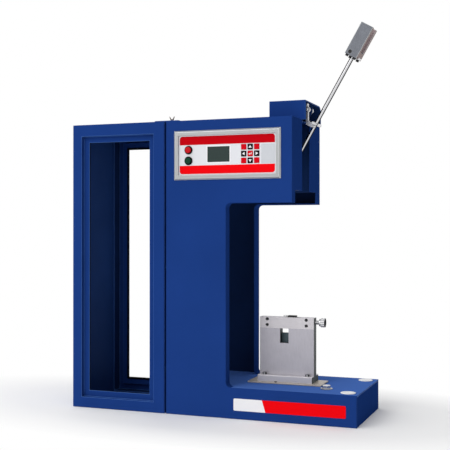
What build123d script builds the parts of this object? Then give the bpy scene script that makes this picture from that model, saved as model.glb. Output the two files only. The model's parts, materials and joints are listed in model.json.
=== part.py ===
"""Pendulum impact tester: a C-shaped sheet-metal frame with a guard box on its left, a swinging
hammer carried inside its head, a specimen vise on its base and a control panel on its front.

Millimetres, +Z up, +Y to the back. The origin is on the floor, straight below the swing axis.
"""

import os

from build123d import *

os.makedirs("parts", exist_ok=True)

# Overall sizes of the frame
body_height = 730.0
body_depth = 255.0
sheet = 3.0
bend_radius = 2.0
guard_width = 260.0
joint_gap = 5.0
column_width = 160.0
head_length = 328.0
base_length = 483.0
base_height = 75.0
head_height = 206.0
head_underside = body_height - head_height
gap_corner_radius = 12.0
front_return = 25.0
rear_return = 36.0
slot_front = -41.5
slot_rear = 31.5
slot_foot = 31.0
column_cut = 40.0
top_slot_run = 110.0
top_slot_half = 50.0
top_slot_end = -44.0

# Swing axis and pendulum
pivot_drop = 133.6
pivot_height = body_height - pivot_drop
pivot_to_head_end = 49.0
rest_angle = 30.0
strike_radius = 335.0
rod_radius = 5.0
rod_start = 12.0
hammer_start = 331.5
hammer_length = 83.5
hammer_width = 48.0
hammer_thick = 33.0
hammer_web = 17.5
catch_radius = 145.0
catch_pin_radius = 4.0
catch_pin_front = -30.0
catch_pin_rear = 42.0
axle_radius = 7.5
hub_radius = 20.0
hub_width = 32.0
bearing_radius = 16.0
bearing_width = 9.0
bearing_plate_thick = 6.0

# Specimen vise
vise_width = 141.0
vise_thick = 23.5
specimen_strike = 22.0
vise_top = pivot_height - strike_radius - specimen_strike
jaw_band = 28.0
foot_length = 190.0
foot_depth = 75.0
foot_thick = 4.0
clamp_depth = 62.0
clamp_height = 17.0
side_fit = 1.75
jaw_travel = 12.0
clamp_screw_radius = 5.0
knob_radius = 11.5

# Guard box windows
window_left = 26.0
window_right = 30.0
window_low = 27.0
window_high = 30.0
rebate_depth = 15.0
rebate_lip = 16.0

# Control panel
panel_length = 278.0
panel_height = 122.0
panel_left = -256.5
panel_drop = 148.0
panel_low = body_height - panel_drop
bezel_width = 12.0
bezel_proud = 5.0
overlay_thick = 3.0
key_size = 13.4
key_pitch = 16.6
keys_from_left = 200.3
keys_from_foot = 61.3
key_centre_x = panel_left + keys_from_left
key_centre_z = panel_low + keys_from_foot
buttons_from_left = 39.0
red_from_foot = 74.0
green_from_foot = 47.6
button_x = panel_left + buttons_from_left
button_z = (panel_low + red_from_foot, panel_low + green_from_foot)
button_ring_radius = 10.5
button_cap_radius = 7.6
button_proud = 6.0
lcd_length = 58.0
lcd_height = 38.0
lcd_from_left = 118.0
lcd_from_foot = 62.0
lcd_centre_x = panel_left + lcd_from_left
lcd_centre_z = panel_low + lcd_from_foot

# Release housing and latch on top of the head
housing_left = -34.0
housing_right = 59.0
housing_front = -47.5
housing_rear = 101.5
housing_height = 48.0
housing_corner = 18.0
hood_lip = 9.0
latch_x = 55.5
latch_drop = 35.5
latch_thick = 8.0
latch_front = -20.5
latch_pin_radius = 3.5
latch_tail = 10.5
latch_room = 1.5
latch_sweep = 19.0

# Clearances
running_fit = 0.05
slide_fit = 0.3

# Places worked out from those sizes
y_front = -body_depth / 2
y_rear = body_depth / 2
x_head = pivot_to_head_end
x_main = x_head - head_length
x_column = x_main + column_width
x_base = x_main + base_length
x_guard_right = x_main - joint_gap
x_guard_left = x_guard_right - guard_width
slot_foot_top = head_underside + slot_foot
top_skin = body_height - sheet
far = 3000.0


def xz(y):
    """Upright plane facing the front at depth y, with X to the right and Z up."""
    return Plane(origin=(0, y, 0), x_dir=(1, 0, 0), z_dir=(0, -1, 0))


def at_pivot(y):
    """The same upright plane, centred on the swing axis."""
    return Plane(origin=(0, y, pivot_height), x_dir=(1, 0, 0), z_dir=(0, -1, 0))


swing = Plane(origin=(0, 0, pivot_height), x_dir=(1, 0, 0), z_dir=(0, 0, 1)).rotated((0, rest_angle, 0))


def block(x0, x1, y0, y1, z0, z1, mode=Mode.ADD):
    """Box between two corners, in the builder that is open."""
    with Locations(((x0 + x1) / 2, (y0 + y1) / 2, (z0 + z1) / 2)):
        Box(x1 - x0, y1 - y0, z1 - z0, mode=mode)


def save(piece, name):
    """Label a finished piece and write it."""
    piece.label = name
    export_step(piece, f"parts/{name}.step")


def slab(x0, x1, z0, z1):
    """Rectangle between two corners, in the sketch that is open."""
    with Locations(((x0 + x1) / 2, (z0 + z1) / 2)):
        Rectangle(x1 - x0, z1 - z0)


# Main frame: front and rear C-shaped pans


def c_outline(inset):
    """Side view of the frame, inset from its outer edge, with round corners at the gap."""
    x_gap = x_column - inset
    z_base = base_height - inset
    z_head = head_underside + inset
    Polygon(
        (x_main + inset, inset),
        (x_base - inset, inset),
        (x_base - inset, z_base),
        (x_gap, z_base),
        (x_gap, z_head),
        (x_head - inset, z_head),
        (x_head - inset, body_height - inset),
        (x_main + inset, body_height - inset),
        align=None,
    )
    corners = [
        v
        for v in vertices()
        if abs(v.X - x_gap) < 0.01 and min(abs(v.Y - z_base), abs(v.Y - z_head)) < 0.01
    ]
    fillet(corners, radius=gap_corner_radius + inset)


def frame_pan(side, slot_edge, side_return):
    """One half of the frame: a C-shaped face with returns. side is -1 at the front, 1 at the rear."""
    face_y = side * body_depth / 2
    inner_y = face_y - side * sheet
    return_y = face_y - side * side_return
    top_y = side * top_slot_half
    with BuildPart() as pan:
        with BuildSketch(xz(face_y)):
            c_outline(0)
        extrude(amount=side * abs(face_y - slot_edge))
        face = faces().sort_by(Axis.Y)[0 if side < 0 else -1]
        fillet(face.outer_wire().edges(), radius=bend_radius)
        with BuildSketch(xz(inner_y)):
            c_outline(sheet)
        extrude(amount=side * far, mode=Mode.SUBTRACT)
        low, high = sorted((return_y, -side * far))
        block(x_column - column_cut, x_head + 1, low, high, base_height, slot_foot_top, Mode.SUBTRACT)
        block(x_main - 1, x_main + 2 * sheet, low, high, base_height, top_skin, Mode.SUBTRACT)
        low, high = sorted((inner_y, -side * far))
        block(x_main - 1, x_base + 1, low, high, -1, base_height, Mode.SUBTRACT)
        low, high = sorted((top_y, -side * far))
        block(x_main - 1, x_head - sheet, low, high, top_skin - 1, body_height + 1, Mode.SUBTRACT)
    return pan.part


panel_right = panel_left + panel_length
panel_high = panel_low + panel_height
hole_left = panel_left + bezel_width
hole_right = panel_right - bezel_width
hole_low = panel_low + bezel_width
hole_high = panel_high - bezel_width

with BuildPart() as front_shell:
    add(frame_pan(-1, slot_front, front_return))
    with BuildSketch(xz(y_front)):
        slab(hole_left, hole_right, hole_low, hole_high)
    extrude(amount=-sheet, mode=Mode.SUBTRACT)
save(front_shell.part, "front_shell")

inlet_x = -200.0
inlet_z = 38.0
inlet_width = 47.0
inlet_height = 27.0
switch_width = 19.0
switch_height = 13.0
switch_x = inlet_x + 38.0

with BuildPart() as rear_shell:
    add(frame_pan(1, slot_rear, rear_return))
    with BuildSketch(xz(y_rear)):
        with Locations((inlet_x, inlet_z)):
            Rectangle(inlet_width, inlet_height)
        with Locations((switch_x, inlet_z)):
            Rectangle(switch_width, switch_height)
    extrude(amount=sheet, mode=Mode.SUBTRACT)
save(rear_shell.part, "rear_shell")

# Base skins between the two pans
plug_radius = 18.0
plug_hole_radius = 14.0
plug_x = x_base - 27.0
plug_y = 97.0
bolt_x = 115.0
bolt_y = -60.0
bolt_radius = 5.0
inner_half = body_depth / 2 - sheet

with BuildPart() as base_top_plate:
    block(x_main, x_base, -inner_half, inner_half, base_height - sheet, base_height)
    with Locations((plug_x, plug_y, base_height), (plug_x, -plug_y, base_height)):
        Hole(plug_hole_radius)
    with Locations((bolt_x, bolt_y, base_height)):
        Hole(bolt_radius)
save(base_top_plate.part, "base_top_plate")

with BuildPart() as base_tray:
    with BuildSketch(xz(-inner_half)):
        slab(x_main, x_base, 0, base_height - sheet)
        with Locations(((x_main + x_base) / 2, base_height)):
            Rectangle(base_length - 2 * sheet, 2 * (base_height - sheet), mode=Mode.SUBTRACT)
    extrude(amount=-2 * inner_half)
save(base_tray.part, "base_tray")

with BuildPart() as head_top_plate:
    block(top_slot_end, x_head - sheet, -top_slot_half, top_slot_half, top_skin, body_height)
    notch_end = latch_front + latch_thick + latch_room
    block(x_head - latch_sweep, far, latch_front - latch_room, notch_end, top_skin, body_height, Mode.SUBTRACT)
save(head_top_plate.part, "head_top_plate")

# Round white plugs over the levelling screws, and one clamped hold-down bolt
with BuildPart() as access_plugs:
    with Locations((plug_x, plug_y, base_height), (plug_x, -plug_y, base_height)):
        Cylinder(plug_radius, 1.6, align=(Align.CENTER, Align.CENTER, Align.MIN))
        Cylinder(
            plug_hole_radius,
            sheet,
            align=(Align.CENTER, Align.CENTER, Align.MAX),
        )
    rims = edges().filter_by(GeomType.CIRCLE).group_by(Axis.Z)[-1]
    fillet(rims, radius=0.7)
save(access_plugs.part, "access_plugs")

washer_radius = 15.0
washer_thick = 2.0
bolt_head_radius = 9.0
bolt_head_height = 7.0
bolt_length = 22.0
wing_boss_radius = 3.8
wing_boss_height = 5.0
wing_span = 6.5
wing_height = 12.5
wing_thick = 2.0

# Guard box: a wrap-round skin and two frames with rebated windows
with BuildPart() as guard_skin:
    with BuildSketch(xz(-inner_half)):
        slab(x_guard_left, x_guard_right, 0, body_height)
        slab_inner = (x_guard_left + sheet, x_guard_right - sheet, sheet, top_skin)
        with Locations(((slab_inner[0] + slab_inner[1]) / 2, (slab_inner[2] + slab_inner[3]) / 2)):
            Rectangle(slab_inner[1] - slab_inner[0], slab_inner[3] - slab_inner[2], mode=Mode.SUBTRACT)
    extrude(amount=-2 * inner_half)
    low = y_front + front_return
    high = y_rear - rear_return
    block(x_guard_right - 2 * sheet, x_guard_right + 1, low, high, base_height, top_skin, Mode.SUBTRACT)
    slot_start = x_guard_left + top_slot_run
    block(slot_start, far, -top_slot_half, top_slot_half, top_skin - 1, body_height + 1, Mode.SUBTRACT)
save(guard_skin.part, "guard_skin")

opening_left = x_guard_left + window_left
opening_right = x_guard_right - window_right
opening_low = window_low
opening_high = body_height - window_high


def window_frame(side, side_return):
    """Face of the guard box with a stepped window and a return. side is -1 at the front, 1 at the rear."""
    face_y = side * body_depth / 2
    with BuildPart() as frame:
        with BuildSketch(xz(face_y)):
            slab(x_guard_left, x_guard_right, 0, body_height)
        extrude(amount=side * sheet)
        fillet(faces().sort_by(Axis.Y)[0 if side < 0 else -1].outer_wire().edges(), radius=bend_radius)
        with BuildSketch(xz(face_y - side * sheet)):
            slab(opening_left - sheet, opening_right + sheet, opening_low - sheet, opening_high + sheet)
        extrude(amount=side * (rebate_depth - sheet))
        with BuildSketch(xz(face_y)):
            slab(opening_left, opening_right, opening_low, opening_high)
        extrude(amount=side * (rebate_depth - sheet), mode=Mode.SUBTRACT)
        with BuildSketch(xz(face_y)):
            slab(
                opening_left + rebate_lip,
                opening_right - rebate_lip,
                opening_low + rebate_lip,
                opening_high - rebate_lip,
            )
        extrude(amount=side * rebate_depth, mode=Mode.SUBTRACT)
        with BuildSketch(xz(face_y - side * sheet)):
            slab(x_guard_left + sheet, x_guard_right - sheet, sheet, top_skin)
            with Locations(((x_guard_left + x_guard_right) / 2, body_height / 2)):
                Rectangle(guard_width - 4 * sheet, body_height - 4 * sheet, mode=Mode.SUBTRACT)
        extrude(amount=side * (side_return - sheet))
    return frame.part


save(window_frame(-1, front_return), "guard_front_frame")
save(window_frame(1, rear_return), "guard_rear_frame")

# Spacers between the guard box and the frame, the hold-down washer, and the joining plates on top
tie_y = (-112.0, 107.0)
tie_from_end = 110.0
tie_z = (tie_from_end, body_height / 2, body_height - tie_from_end)
tie_radius = 4.0
spacer_radius = 9.0
with BuildPart() as spacers:
    for y in tie_y:
        for z in tie_z:
            with BuildSketch(Plane.YZ.offset(x_guard_right)):
                with Locations((y, z)):
                    Circle(spacer_radius)
                    Circle(tie_radius, mode=Mode.SUBTRACT)
            extrude(amount=joint_gap)
    with BuildSketch(Plane.XY.offset(base_height)):
        with Locations((bolt_x, bolt_y)):
            Circle(washer_radius)
            Circle(bolt_radius + slide_fit, mode=Mode.SUBTRACT)
    extrude(amount=washer_thick)
save(spacers.part, "spacers")

join_left = -316.0
join_right = -249.0
join_inner = 78.0
join_outer = 118.0
join_thick = 3.0
wing_x = x_main + 3.5
wing_y = (join_inner + join_outer) / 2
with BuildPart() as joining_plates:
    for y in (-wing_y, wing_y):
        with BuildSketch(Plane.XY.offset(body_height)):
            with Locations(((join_left + join_right) / 2, y)):
                RectangleRounded(join_right - join_left, join_outer - join_inner, 4.0)
        extrude(amount=join_thick)
save(joining_plates.part, "joining_plates")

with BuildPart() as bolts:
    for y in (-wing_y, wing_y):
        with BuildSketch(Plane.XY.offset(body_height + join_thick)):
            with Locations((wing_x, y)):
                Circle(wing_boss_radius)
        extrude(amount=wing_boss_height)
        wing_foot = (wing_x, y - wing_thick / 2, body_height + join_thick)
        with BuildSketch(Plane(origin=wing_foot, x_dir=(1, 0, 0), z_dir=(0, -1, 0))):
            Polygon(
                (-wing_span, wing_height),
                (-wing_span / 4, wing_boss_height),
                (wing_span / 4, wing_boss_height),
                (wing_span, wing_height),
                (wing_span, 0.7 * wing_height),
                (wing_span / 2, 0.4 * wing_boss_height),
                (-wing_span / 2, 0.4 * wing_boss_height),
                (-wing_span, 0.7 * wing_height),
                align=None,
            )
        extrude(amount=-wing_thick)
    with BuildSketch(Plane.XY.offset(base_height + washer_thick)):
        with Locations((bolt_x, bolt_y)):
            RegularPolygon(bolt_head_radius, 6, major_radius=False)
    extrude(amount=bolt_head_height)
    with BuildSketch(Plane.XY.offset(base_height + washer_thick)):
        with Locations((bolt_x, bolt_y)):
            Circle(bolt_radius)
    extrude(amount=-bolt_length)
save(bolts.part, "bolts")

# Head: bracket plates that carry the swing bearings
plate_front_y = slot_front - 4.5
plate_rear_y = slot_rear + 4.5
housing_bore = 22.0


with BuildPart() as bearing_plates:
    for side, near_y in ((-1, plate_front_y), (1, plate_rear_y)):
        low, high = sorted((near_y, near_y + side * bearing_plate_thick))
        block(top_slot_end, x_head - sheet, low, high, slot_foot_top, top_skin)
        low, high = sorted((near_y, side * inner_half))
        block(top_slot_end, x_head - sheet, low, high, slot_foot_top, slot_foot_top + sheet)
        with BuildSketch(at_pivot(near_y)):
            Circle(housing_bore)
        extrude(amount=-side * bearing_plate_thick, mode=Mode.SUBTRACT)
save(bearing_plates.part, "bearing_plates")

flange_radius = 32.0
flange_thick = 6.0
boss_length = 14.0
screw_ring_radius = 27.0


with BuildPart() as bearing_housings:
    for side, near_y in ((-1, plate_front_y), (1, plate_rear_y)):
        plate_y = near_y + side * bearing_plate_thick
        with BuildSketch(at_pivot(near_y)):
            Circle(housing_bore)
        extrude(amount=-side * (bearing_plate_thick + boss_length))
        with BuildSketch(at_pivot(plate_y)):
            Circle(flange_radius)
        extrude(amount=-side * flange_thick)
        with BuildSketch(at_pivot(near_y)):
            Circle(bearing_radius)
        extrude(amount=-side * (bearing_width + 2.0), mode=Mode.SUBTRACT)
        with BuildSketch(at_pivot(near_y)):
            Circle(axle_radius + 2.0)
        extrude(amount=-side * (bearing_plate_thick + boss_length), mode=Mode.SUBTRACT)
        with BuildSketch(at_pivot(plate_y + side * flange_thick)):
            with PolarLocations(screw_ring_radius, 4, start_angle=45):
                Circle(2.1)
        extrude(amount=side * flange_thick, mode=Mode.SUBTRACT)
save(bearing_housings.part, "bearing_housings")

with BuildPart() as housing_screws:
    for side, near_y in ((-1, plate_front_y), (1, plate_rear_y)):
        seat_y = near_y + side * (bearing_plate_thick + flange_thick)
        with BuildSketch(at_pivot(seat_y)):
            with PolarLocations(screw_ring_radius, 4, start_angle=45):
                Circle(3.6)
        extrude(amount=-side * 4.0)
        with BuildSketch(at_pivot(seat_y)):
            with PolarLocations(screw_ring_radius, 4, start_angle=45):
                Circle(2.0)
        extrude(amount=side * (flange_thick - 0.1))
save(housing_screws.part, "housing_screws")

bearing_split = axle_radius + 3.0


def bearing_ring(inner, outer, name):
    """The same ring of both bearings, each in its seat."""
    with BuildPart() as ring:
        for side, near_y in ((-1, plate_front_y), (1, plate_rear_y)):
            with BuildSketch(at_pivot(near_y + side * 2.0)):
                Circle(outer)
                Circle(inner, mode=Mode.SUBTRACT)
            extrude(amount=-side * bearing_width)
    save(ring.part, name)


bearing_ring(bearing_split + running_fit, bearing_radius, "bearing_outer_rings")
bearing_ring(axle_radius, bearing_split, "bearing_inner_rings")

axle_front = -60.0
axle_rear = 72.0
with BuildPart() as pendulum_axle:
    with BuildSketch(at_pivot(axle_front)):
        Circle(axle_radius)
    extrude(amount=-(axle_rear - axle_front))
    chamfer(edges().filter_by(GeomType.CIRCLE), length=0.8)
save(pendulum_axle.part, "pendulum_axle")

# Angle encoder behind the rear bearing, on three posts
encoder_radius = 20.0
encoder_length = 28.0
encoder_plate_y = plate_rear_y + bearing_plate_thick + flange_thick + 10.0
encoder_plate = 3.0
post_ring_radius = 35.2
post_radius = 3.0
encoder_flange_radius = 38.0
with BuildPart() as encoder:
    with BuildSketch(at_pivot(encoder_plate_y)):
        Circle(encoder_flange_radius)
    extrude(amount=-encoder_plate)
    with BuildSketch(at_pivot(encoder_plate_y + encoder_plate)):
        Circle(encoder_radius)
    extrude(amount=-encoder_length)
    fillet(edges().filter_by(GeomType.CIRCLE).group_by(Axis.Y)[-1], radius=2.0)
    with BuildSketch(at_pivot(encoder_plate_y)):
        Circle(axle_radius + 0.5)
    extrude(amount=-16.0, mode=Mode.SUBTRACT)
save(encoder.part, "encoder")

# Pendulum, drawn along its own rod with the rod's axis up in the swing plane
rod_end = hammer_start + hammer_web - 3.0
side_on = Plane(origin=swing.origin, x_dir=swing.y_dir, z_dir=swing.x_dir)

with BuildPart() as pendulum_hub:
    with BuildSketch(at_pivot(-hub_width / 2)):
        Circle(hub_radius)
    extrude(amount=-hub_width)
    chamfer(edges().filter_by(GeomType.CIRCLE), length=1.0)
    with BuildSketch(swing):
        Circle(rod_radius + 5.0)
    extrude(amount=hub_radius + 14.0)
    with BuildSketch(at_pivot(-hub_width / 2)):
        Circle(axle_radius)
    extrude(amount=-hub_width, mode=Mode.SUBTRACT)
    with BuildSketch(swing.offset(rod_start)):
        Circle(rod_radius)
    extrude(amount=60.0, mode=Mode.SUBTRACT)
save(pendulum_hub.part, "pendulum_hub")

with BuildPart() as pendulum_rod:
    with BuildSketch(swing.offset(rod_start)):
        Circle(rod_radius)
    extrude(amount=rod_end - rod_start)
    with Locations(swing.offset(catch_radius).location):
        Cylinder(catch_pin_radius, 4 * rod_radius, rotation=(90, 0, 0), mode=Mode.SUBTRACT)
save(pendulum_rod.part, "pendulum_rod")

with BuildPart() as catch_pin:
    with Locations((swing.offset(catch_radius) * Location((0, (catch_pin_front + catch_pin_rear) / 2, 0)))):
        Cylinder(catch_pin_radius, catch_pin_rear - catch_pin_front, rotation=(90, 0, 0))
    chamfer(edges().filter_by(GeomType.CIRCLE), length=0.8)
save(catch_pin.part, "catch_pin")

fork_gap = vise_thick + 2 * side_fit
with BuildPart() as hammer_fork:
    with BuildSketch(side_on.offset(-hammer_thick / 2)):
        slab(-hammer_width / 2, hammer_width / 2, hammer_start, hammer_start + hammer_length)
        with Locations((0, hammer_start + hammer_web + hammer_length / 2)):
            RectangleRounded(fork_gap, hammer_length, 4.0, mode=Mode.SUBTRACT)
    extrude(amount=hammer_thick)
    with BuildSketch(swing.offset(hammer_start)):
        Circle(rod_radius)
    extrude(amount=rod_end - hammer_start, mode=Mode.SUBTRACT)
    with Locations(swing.offset(hammer_start + 8.0) * Location((-6.0, -hammer_width / 2, 0))):
        Cylinder(4.6, 12.0, rotation=(90, 0, 0), mode=Mode.SUBTRACT)
    outer = edges().filter_by(lambda e: abs(e.tangent_at(0).dot(swing.z_dir)) > 0.99).filter_by(
        lambda e: e.length > hammer_length - 1
    )
    chamfer(outer, length=0.8)
save(hammer_fork.part, "hammer_fork")

striker_reach = 3.0
striker_half = fork_gap / 2 - 1.0
striker_start = swing.origin - Vector(0, striker_half, 0)
with BuildPart() as striker:
    with BuildSketch(Plane(origin=striker_start, x_dir=swing.x_dir, z_dir=(0, -1, 0))):
        with BuildLine():
            Polyline(
                (hammer_thick / 2, strike_radius - 3.0),
                (hammer_thick / 2 + striker_reach, strike_radius - 0.8),
                (hammer_thick / 2 + striker_reach, strike_radius + 0.8),
                (hammer_thick / 2, strike_radius + 3.0),
                close=True,
            )
        make_face()
    extrude(amount=-2 * striker_half)
save(striker.part, "striker")

with BuildPart() as hammer_screws:
    for x in (-10.5, 10.5):
        for y in (-17.0, 17.0):
            with Locations(swing.offset(hammer_start - 2.5) * Location((x, y, 0))):
                Cylinder(4.0, 5.0)
    with Locations(swing.offset(hammer_start + 8.0) * Location((-6.0, -hammer_width / 2 + 3.0, 0))):
        Cylinder(4.5, 5.0, rotation=(90, 0, 0))
save(hammer_screws.part, "hammer_screws")

# Specimen vise on the base
foot_top = base_height + foot_thick
block_top = foot_top + clamp_height
band_low = vise_top - jaw_band
notch_left = -17.0
notch_right = 5.0
notch_low = vise_top - 64.4
notch_sill = vise_top - 40.4
notch_depth = 16.0
with BuildPart() as vise_foot:
    block(-foot_length / 2, foot_length / 2, -foot_depth / 2, foot_depth / 2, base_height, foot_top)
    chamfer(faces().sort_by(Axis.Z)[-1].edges(), length=0.8)
save(vise_foot.part, "vise_foot")

with BuildPart() as vise_clamp_block:
    block(-vise_width / 2, vise_width / 2, -clamp_depth / 2, clamp_depth / 2, foot_top, block_top)
    chamfer(faces().sort_by(Axis.Z)[-1].edges(), length=1.5)
    block(-far, far, -vise_thick / 2, vise_thick / 2, foot_top, block_top, Mode.SUBTRACT)
save(vise_clamp_block.part, "vise_clamp_block")

fixed_face = -3.0
jaw_gap = 4.0
jaw_length = 22.0
jaw_depth = 11.0
jaw_proud = 4.5
jaw_top = vise_top + jaw_proud
jaw_low = band_low + 2.0
jaw_slot_right = fixed_face + jaw_gap + jaw_length + jaw_travel + slide_fit
bar_thick = (vise_thick - jaw_depth) / 2 - slide_fit
screw_drop = 11.4
screw_z = vise_top - screw_drop
with BuildPart() as vise_plate:
    with BuildSketch(xz(-vise_thick / 2)):
        slab(-vise_width / 2, vise_width / 2, foot_top, vise_top)
    extrude(amount=-vise_thick)
    block(-far, far, -far, -vise_thick / 2 + bar_thick, band_low, far, Mode.SUBTRACT)
    block(-far, far, vise_thick / 2 - bar_thick, far, band_low, far, Mode.SUBTRACT)
    block(fixed_face, jaw_slot_right, -far, far, jaw_low - slide_fit, far, Mode.SUBTRACT)
    block(notch_left, notch_right, -far, -vise_thick / 2 + notch_depth, notch_low, band_low, Mode.SUBTRACT)
    block(notch_left, notch_right, -far, far, notch_sill, band_low, Mode.SUBTRACT)
    with BuildSketch(Plane.YZ.offset(jaw_slot_right)):
        with Locations((0, screw_z)):
            Circle(clamp_screw_radius + running_fit)
    extrude(amount=far, mode=Mode.SUBTRACT)
save(vise_plate.part, "vise_plate")


bar_screw_x = 51.0
upper_screw_drop = 5.5
lower_screw_drop = 20.0
bar_screw_z = (vise_top - upper_screw_drop, vise_top - lower_screw_drop)
bar_screw_radius = 3.4
counterbore_radius = 4.2
counterbore_depth = 3.0
socket_radius = 2.2
block_screw_x = (-54.5, 56.5)
block_screw_y = (clamp_depth + vise_thick) / 4
block_screw_radius = 5.0
block_screw_height = 5.2
foot_screw_x = -22.0
foot_screw_y = (clamp_depth + foot_depth) / 4
foot_screw_radius = 3.0
with BuildPart() as vise_bars:
    for side in (-1, 1):
        outer = side * vise_thick / 2
        low, high = sorted((outer, outer - side * bar_thick))
        block(-vise_width / 2, vise_width / 2, low, high, band_low, vise_top)
        for z in bar_screw_z:
            with BuildSketch(xz(outer)):
                with Locations((-bar_screw_x, z), (bar_screw_x, z)):
                    Circle(counterbore_radius)
            extrude(amount=side * counterbore_depth, mode=Mode.SUBTRACT)
save(vise_bars.part, "vise_bars")

with BuildPart() as vise_screws:
    for side in (-1, 1):
        seat_y = side * (vise_thick / 2 - counterbore_depth)
        head_y = side * (vise_thick / 2 - 0.4)
        for z in bar_screw_z:
            with BuildSketch(xz(seat_y)):
                with Locations((-bar_screw_x, z), (bar_screw_x, z)):
                    Circle(bar_screw_radius)
            extrude(amount=seat_y - head_y)
            with BuildSketch(xz(head_y)):
                with Locations((-bar_screw_x, z), (bar_screw_x, z)):
                    RegularPolygon(socket_radius, 6)
            extrude(amount=side * 1.6, mode=Mode.SUBTRACT)
    for y in (-block_screw_y, block_screw_y):
        with BuildSketch(Plane.XY.offset(block_top)):
            with Locations([(x, y) for x in block_screw_x]):
                Circle(block_screw_radius)
        extrude(amount=block_screw_height)
        with BuildSketch(Plane.XY.offset(block_top + block_screw_height)):
            with Locations([(x, y) for x in block_screw_x]):
                RegularPolygon(socket_radius + 0.6, 6)
        extrude(amount=-3.0, mode=Mode.SUBTRACT)
    for y in (-foot_screw_y, foot_screw_y):
        with BuildSketch(Plane.XY.offset(foot_top)):
            with Locations((foot_screw_x, y)):
                Circle(foot_screw_radius)
        extrude(amount=2.6)
save(vise_screws.part, "vise_screws")

with BuildPart() as fixed_jaw:
    block(fixed_face - 0.1, fixed_face + 1.2, -jaw_depth / 2, jaw_depth / 2, jaw_low, jaw_top)
    block(fixed_face - 7.0, fixed_face + 1.2, -jaw_depth / 2, jaw_depth / 2, vise_top, jaw_top)
    block(fixed_face - 0.2, fixed_face, -far, far, 0, vise_top, Mode.SUBTRACT)
save(fixed_jaw.part, "fixed_jaw")

moving_face = fixed_face + jaw_gap
with BuildPart() as moving_jaw:
    block(moving_face, moving_face + jaw_length, -jaw_depth / 2, jaw_depth / 2, jaw_low, vise_top)
    block(moving_face, moving_face + jaw_length, -jaw_depth / 2, jaw_depth / 2, vise_top, jaw_top)
    chamfer(edges().filter_by(Axis.Y).group_by(Axis.Z)[-1], length=0.6)
save(moving_jaw.part, "moving_jaw")

knob_start = vise_width / 2 + jaw_travel
knob_length = 14.0
screw_start = moving_face + jaw_length
with BuildPart() as clamp_screw:
    with BuildSketch(Plane.YZ.offset(screw_start)):
        with Locations((0, screw_z)):
            Circle(clamp_screw_radius)
    extrude(amount=knob_start - screw_start + 4.0)
save(clamp_screw.part, "clamp_screw")

with BuildPart() as clamp_knob:
    with BuildSketch(Plane.YZ.offset(knob_start)):
        with Locations((0, screw_z)):
            Circle(knob_radius - 2.0)
            Circle(clamp_screw_radius, mode=Mode.SUBTRACT)
    extrude(amount=4.0)
    with BuildSketch(Plane.YZ.offset(knob_start + 4.0)):
        with Locations((0, screw_z)):
            Circle(knob_radius)
    extrude(amount=knob_length - 4.0)
    with BuildSketch(Plane.YZ.offset(knob_start + 4.0)):
        with Locations((0, screw_z)):
            with PolarLocations(knob_radius + 0.6, 16):
                Circle(1.5)
    extrude(amount=knob_length - 4.0, mode=Mode.SUBTRACT)
save(clamp_knob.part, "clamp_knob")

# Control panel
with BuildPart() as panel_bezel:
    with BuildSketch(xz(y_front)):
        slab(panel_left, panel_right, panel_low, panel_high)
    extrude(amount=bezel_proud)
    chamfer(faces().sort_by(Axis.Y)[0].edges(), length=bezel_proud - 1.0)
    with BuildSketch(xz(y_front)):
        slab(hole_left, hole_right, hole_low, hole_high)
    extrude(amount=bezel_proud, mode=Mode.SUBTRACT)
save(panel_bezel.part, "panel_bezel")

overlay_front = y_front
key_places = [
    (key_centre_x + column * key_pitch, key_centre_z + row * key_pitch)
    for row in (1, 0, -1)
    for column in (-1, 0, 1)
]
key_names = (
    "key_top_left",
    "key_up",
    "key_top_right",
    "key_left",
    "key_enter",
    "key_right",
    "key_bottom_left",
    "key_down",
    "key_bottom_right",
)
with BuildPart() as panel_plate:
    with BuildSketch(xz(overlay_front)):
        slab(hole_left, hole_right, hole_low, hole_high)
        for x, z in key_places:
            with Locations((x, z)):
                RectangleRounded(key_size + 2 * slide_fit, key_size + 2 * slide_fit, 1.6, mode=Mode.SUBTRACT)
        with Locations((lcd_centre_x, lcd_centre_z)):
            Rectangle(lcd_length, lcd_height, mode=Mode.SUBTRACT)
        for z in button_z:
            with Locations((button_x, z)):
                Circle(button_ring_radius - 1.5, mode=Mode.SUBTRACT)
    extrude(amount=-overlay_thick)
save(panel_plate.part, "panel_plate")

key_front = overlay_front - 0.9
key_thick = 2.0
for (x, z), name in zip(key_places, key_names):
    with BuildPart() as key:
        with BuildSketch(xz(key_front)):
            with Locations((x, z)):
                RectangleRounded(key_size, key_size, 1.3)
        extrude(amount=-key_thick)
        fillet(faces().sort_by(Axis.Y)[0].edges(), radius=0.4)
    save(key.part, name)

with BuildPart() as lcd_window:
    with BuildSketch(xz(overlay_front + 0.6)):
        with Locations((lcd_centre_x, lcd_centre_z)):
            Rectangle(lcd_length, lcd_height)
    extrude(amount=-(overlay_thick - 0.6))
save(lcd_window.part, "lcd_window")

board_thick = 1.6
board_gap = 26.0
button_names = ("red_button", "green_button")
body_radius = button_ring_radius - 1.6
with BuildPart() as button_housings:
    for z in button_z:
        with BuildSketch(xz(overlay_front)):
            with Locations((button_x, z)):
                Circle(button_ring_radius)
        extrude(amount=2.4)
        with BuildSketch(xz(overlay_front)):
            with Locations((button_x, z)):
                Circle(body_radius)
        extrude(amount=-24.0)
        with BuildSketch(xz(overlay_front - 2.4)):
            with Locations((button_x, z)):
                Circle(button_cap_radius + slide_fit)
        extrude(amount=-16.4, mode=Mode.SUBTRACT)
    fronts = faces().sort_by(Axis.Y)[0:2].edges().filter_by(GeomType.CIRCLE)
    fillet(fronts.sort_by(SortBy.RADIUS)[-2:], radius=0.8)
save(button_housings.part, "button_housings")

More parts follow.
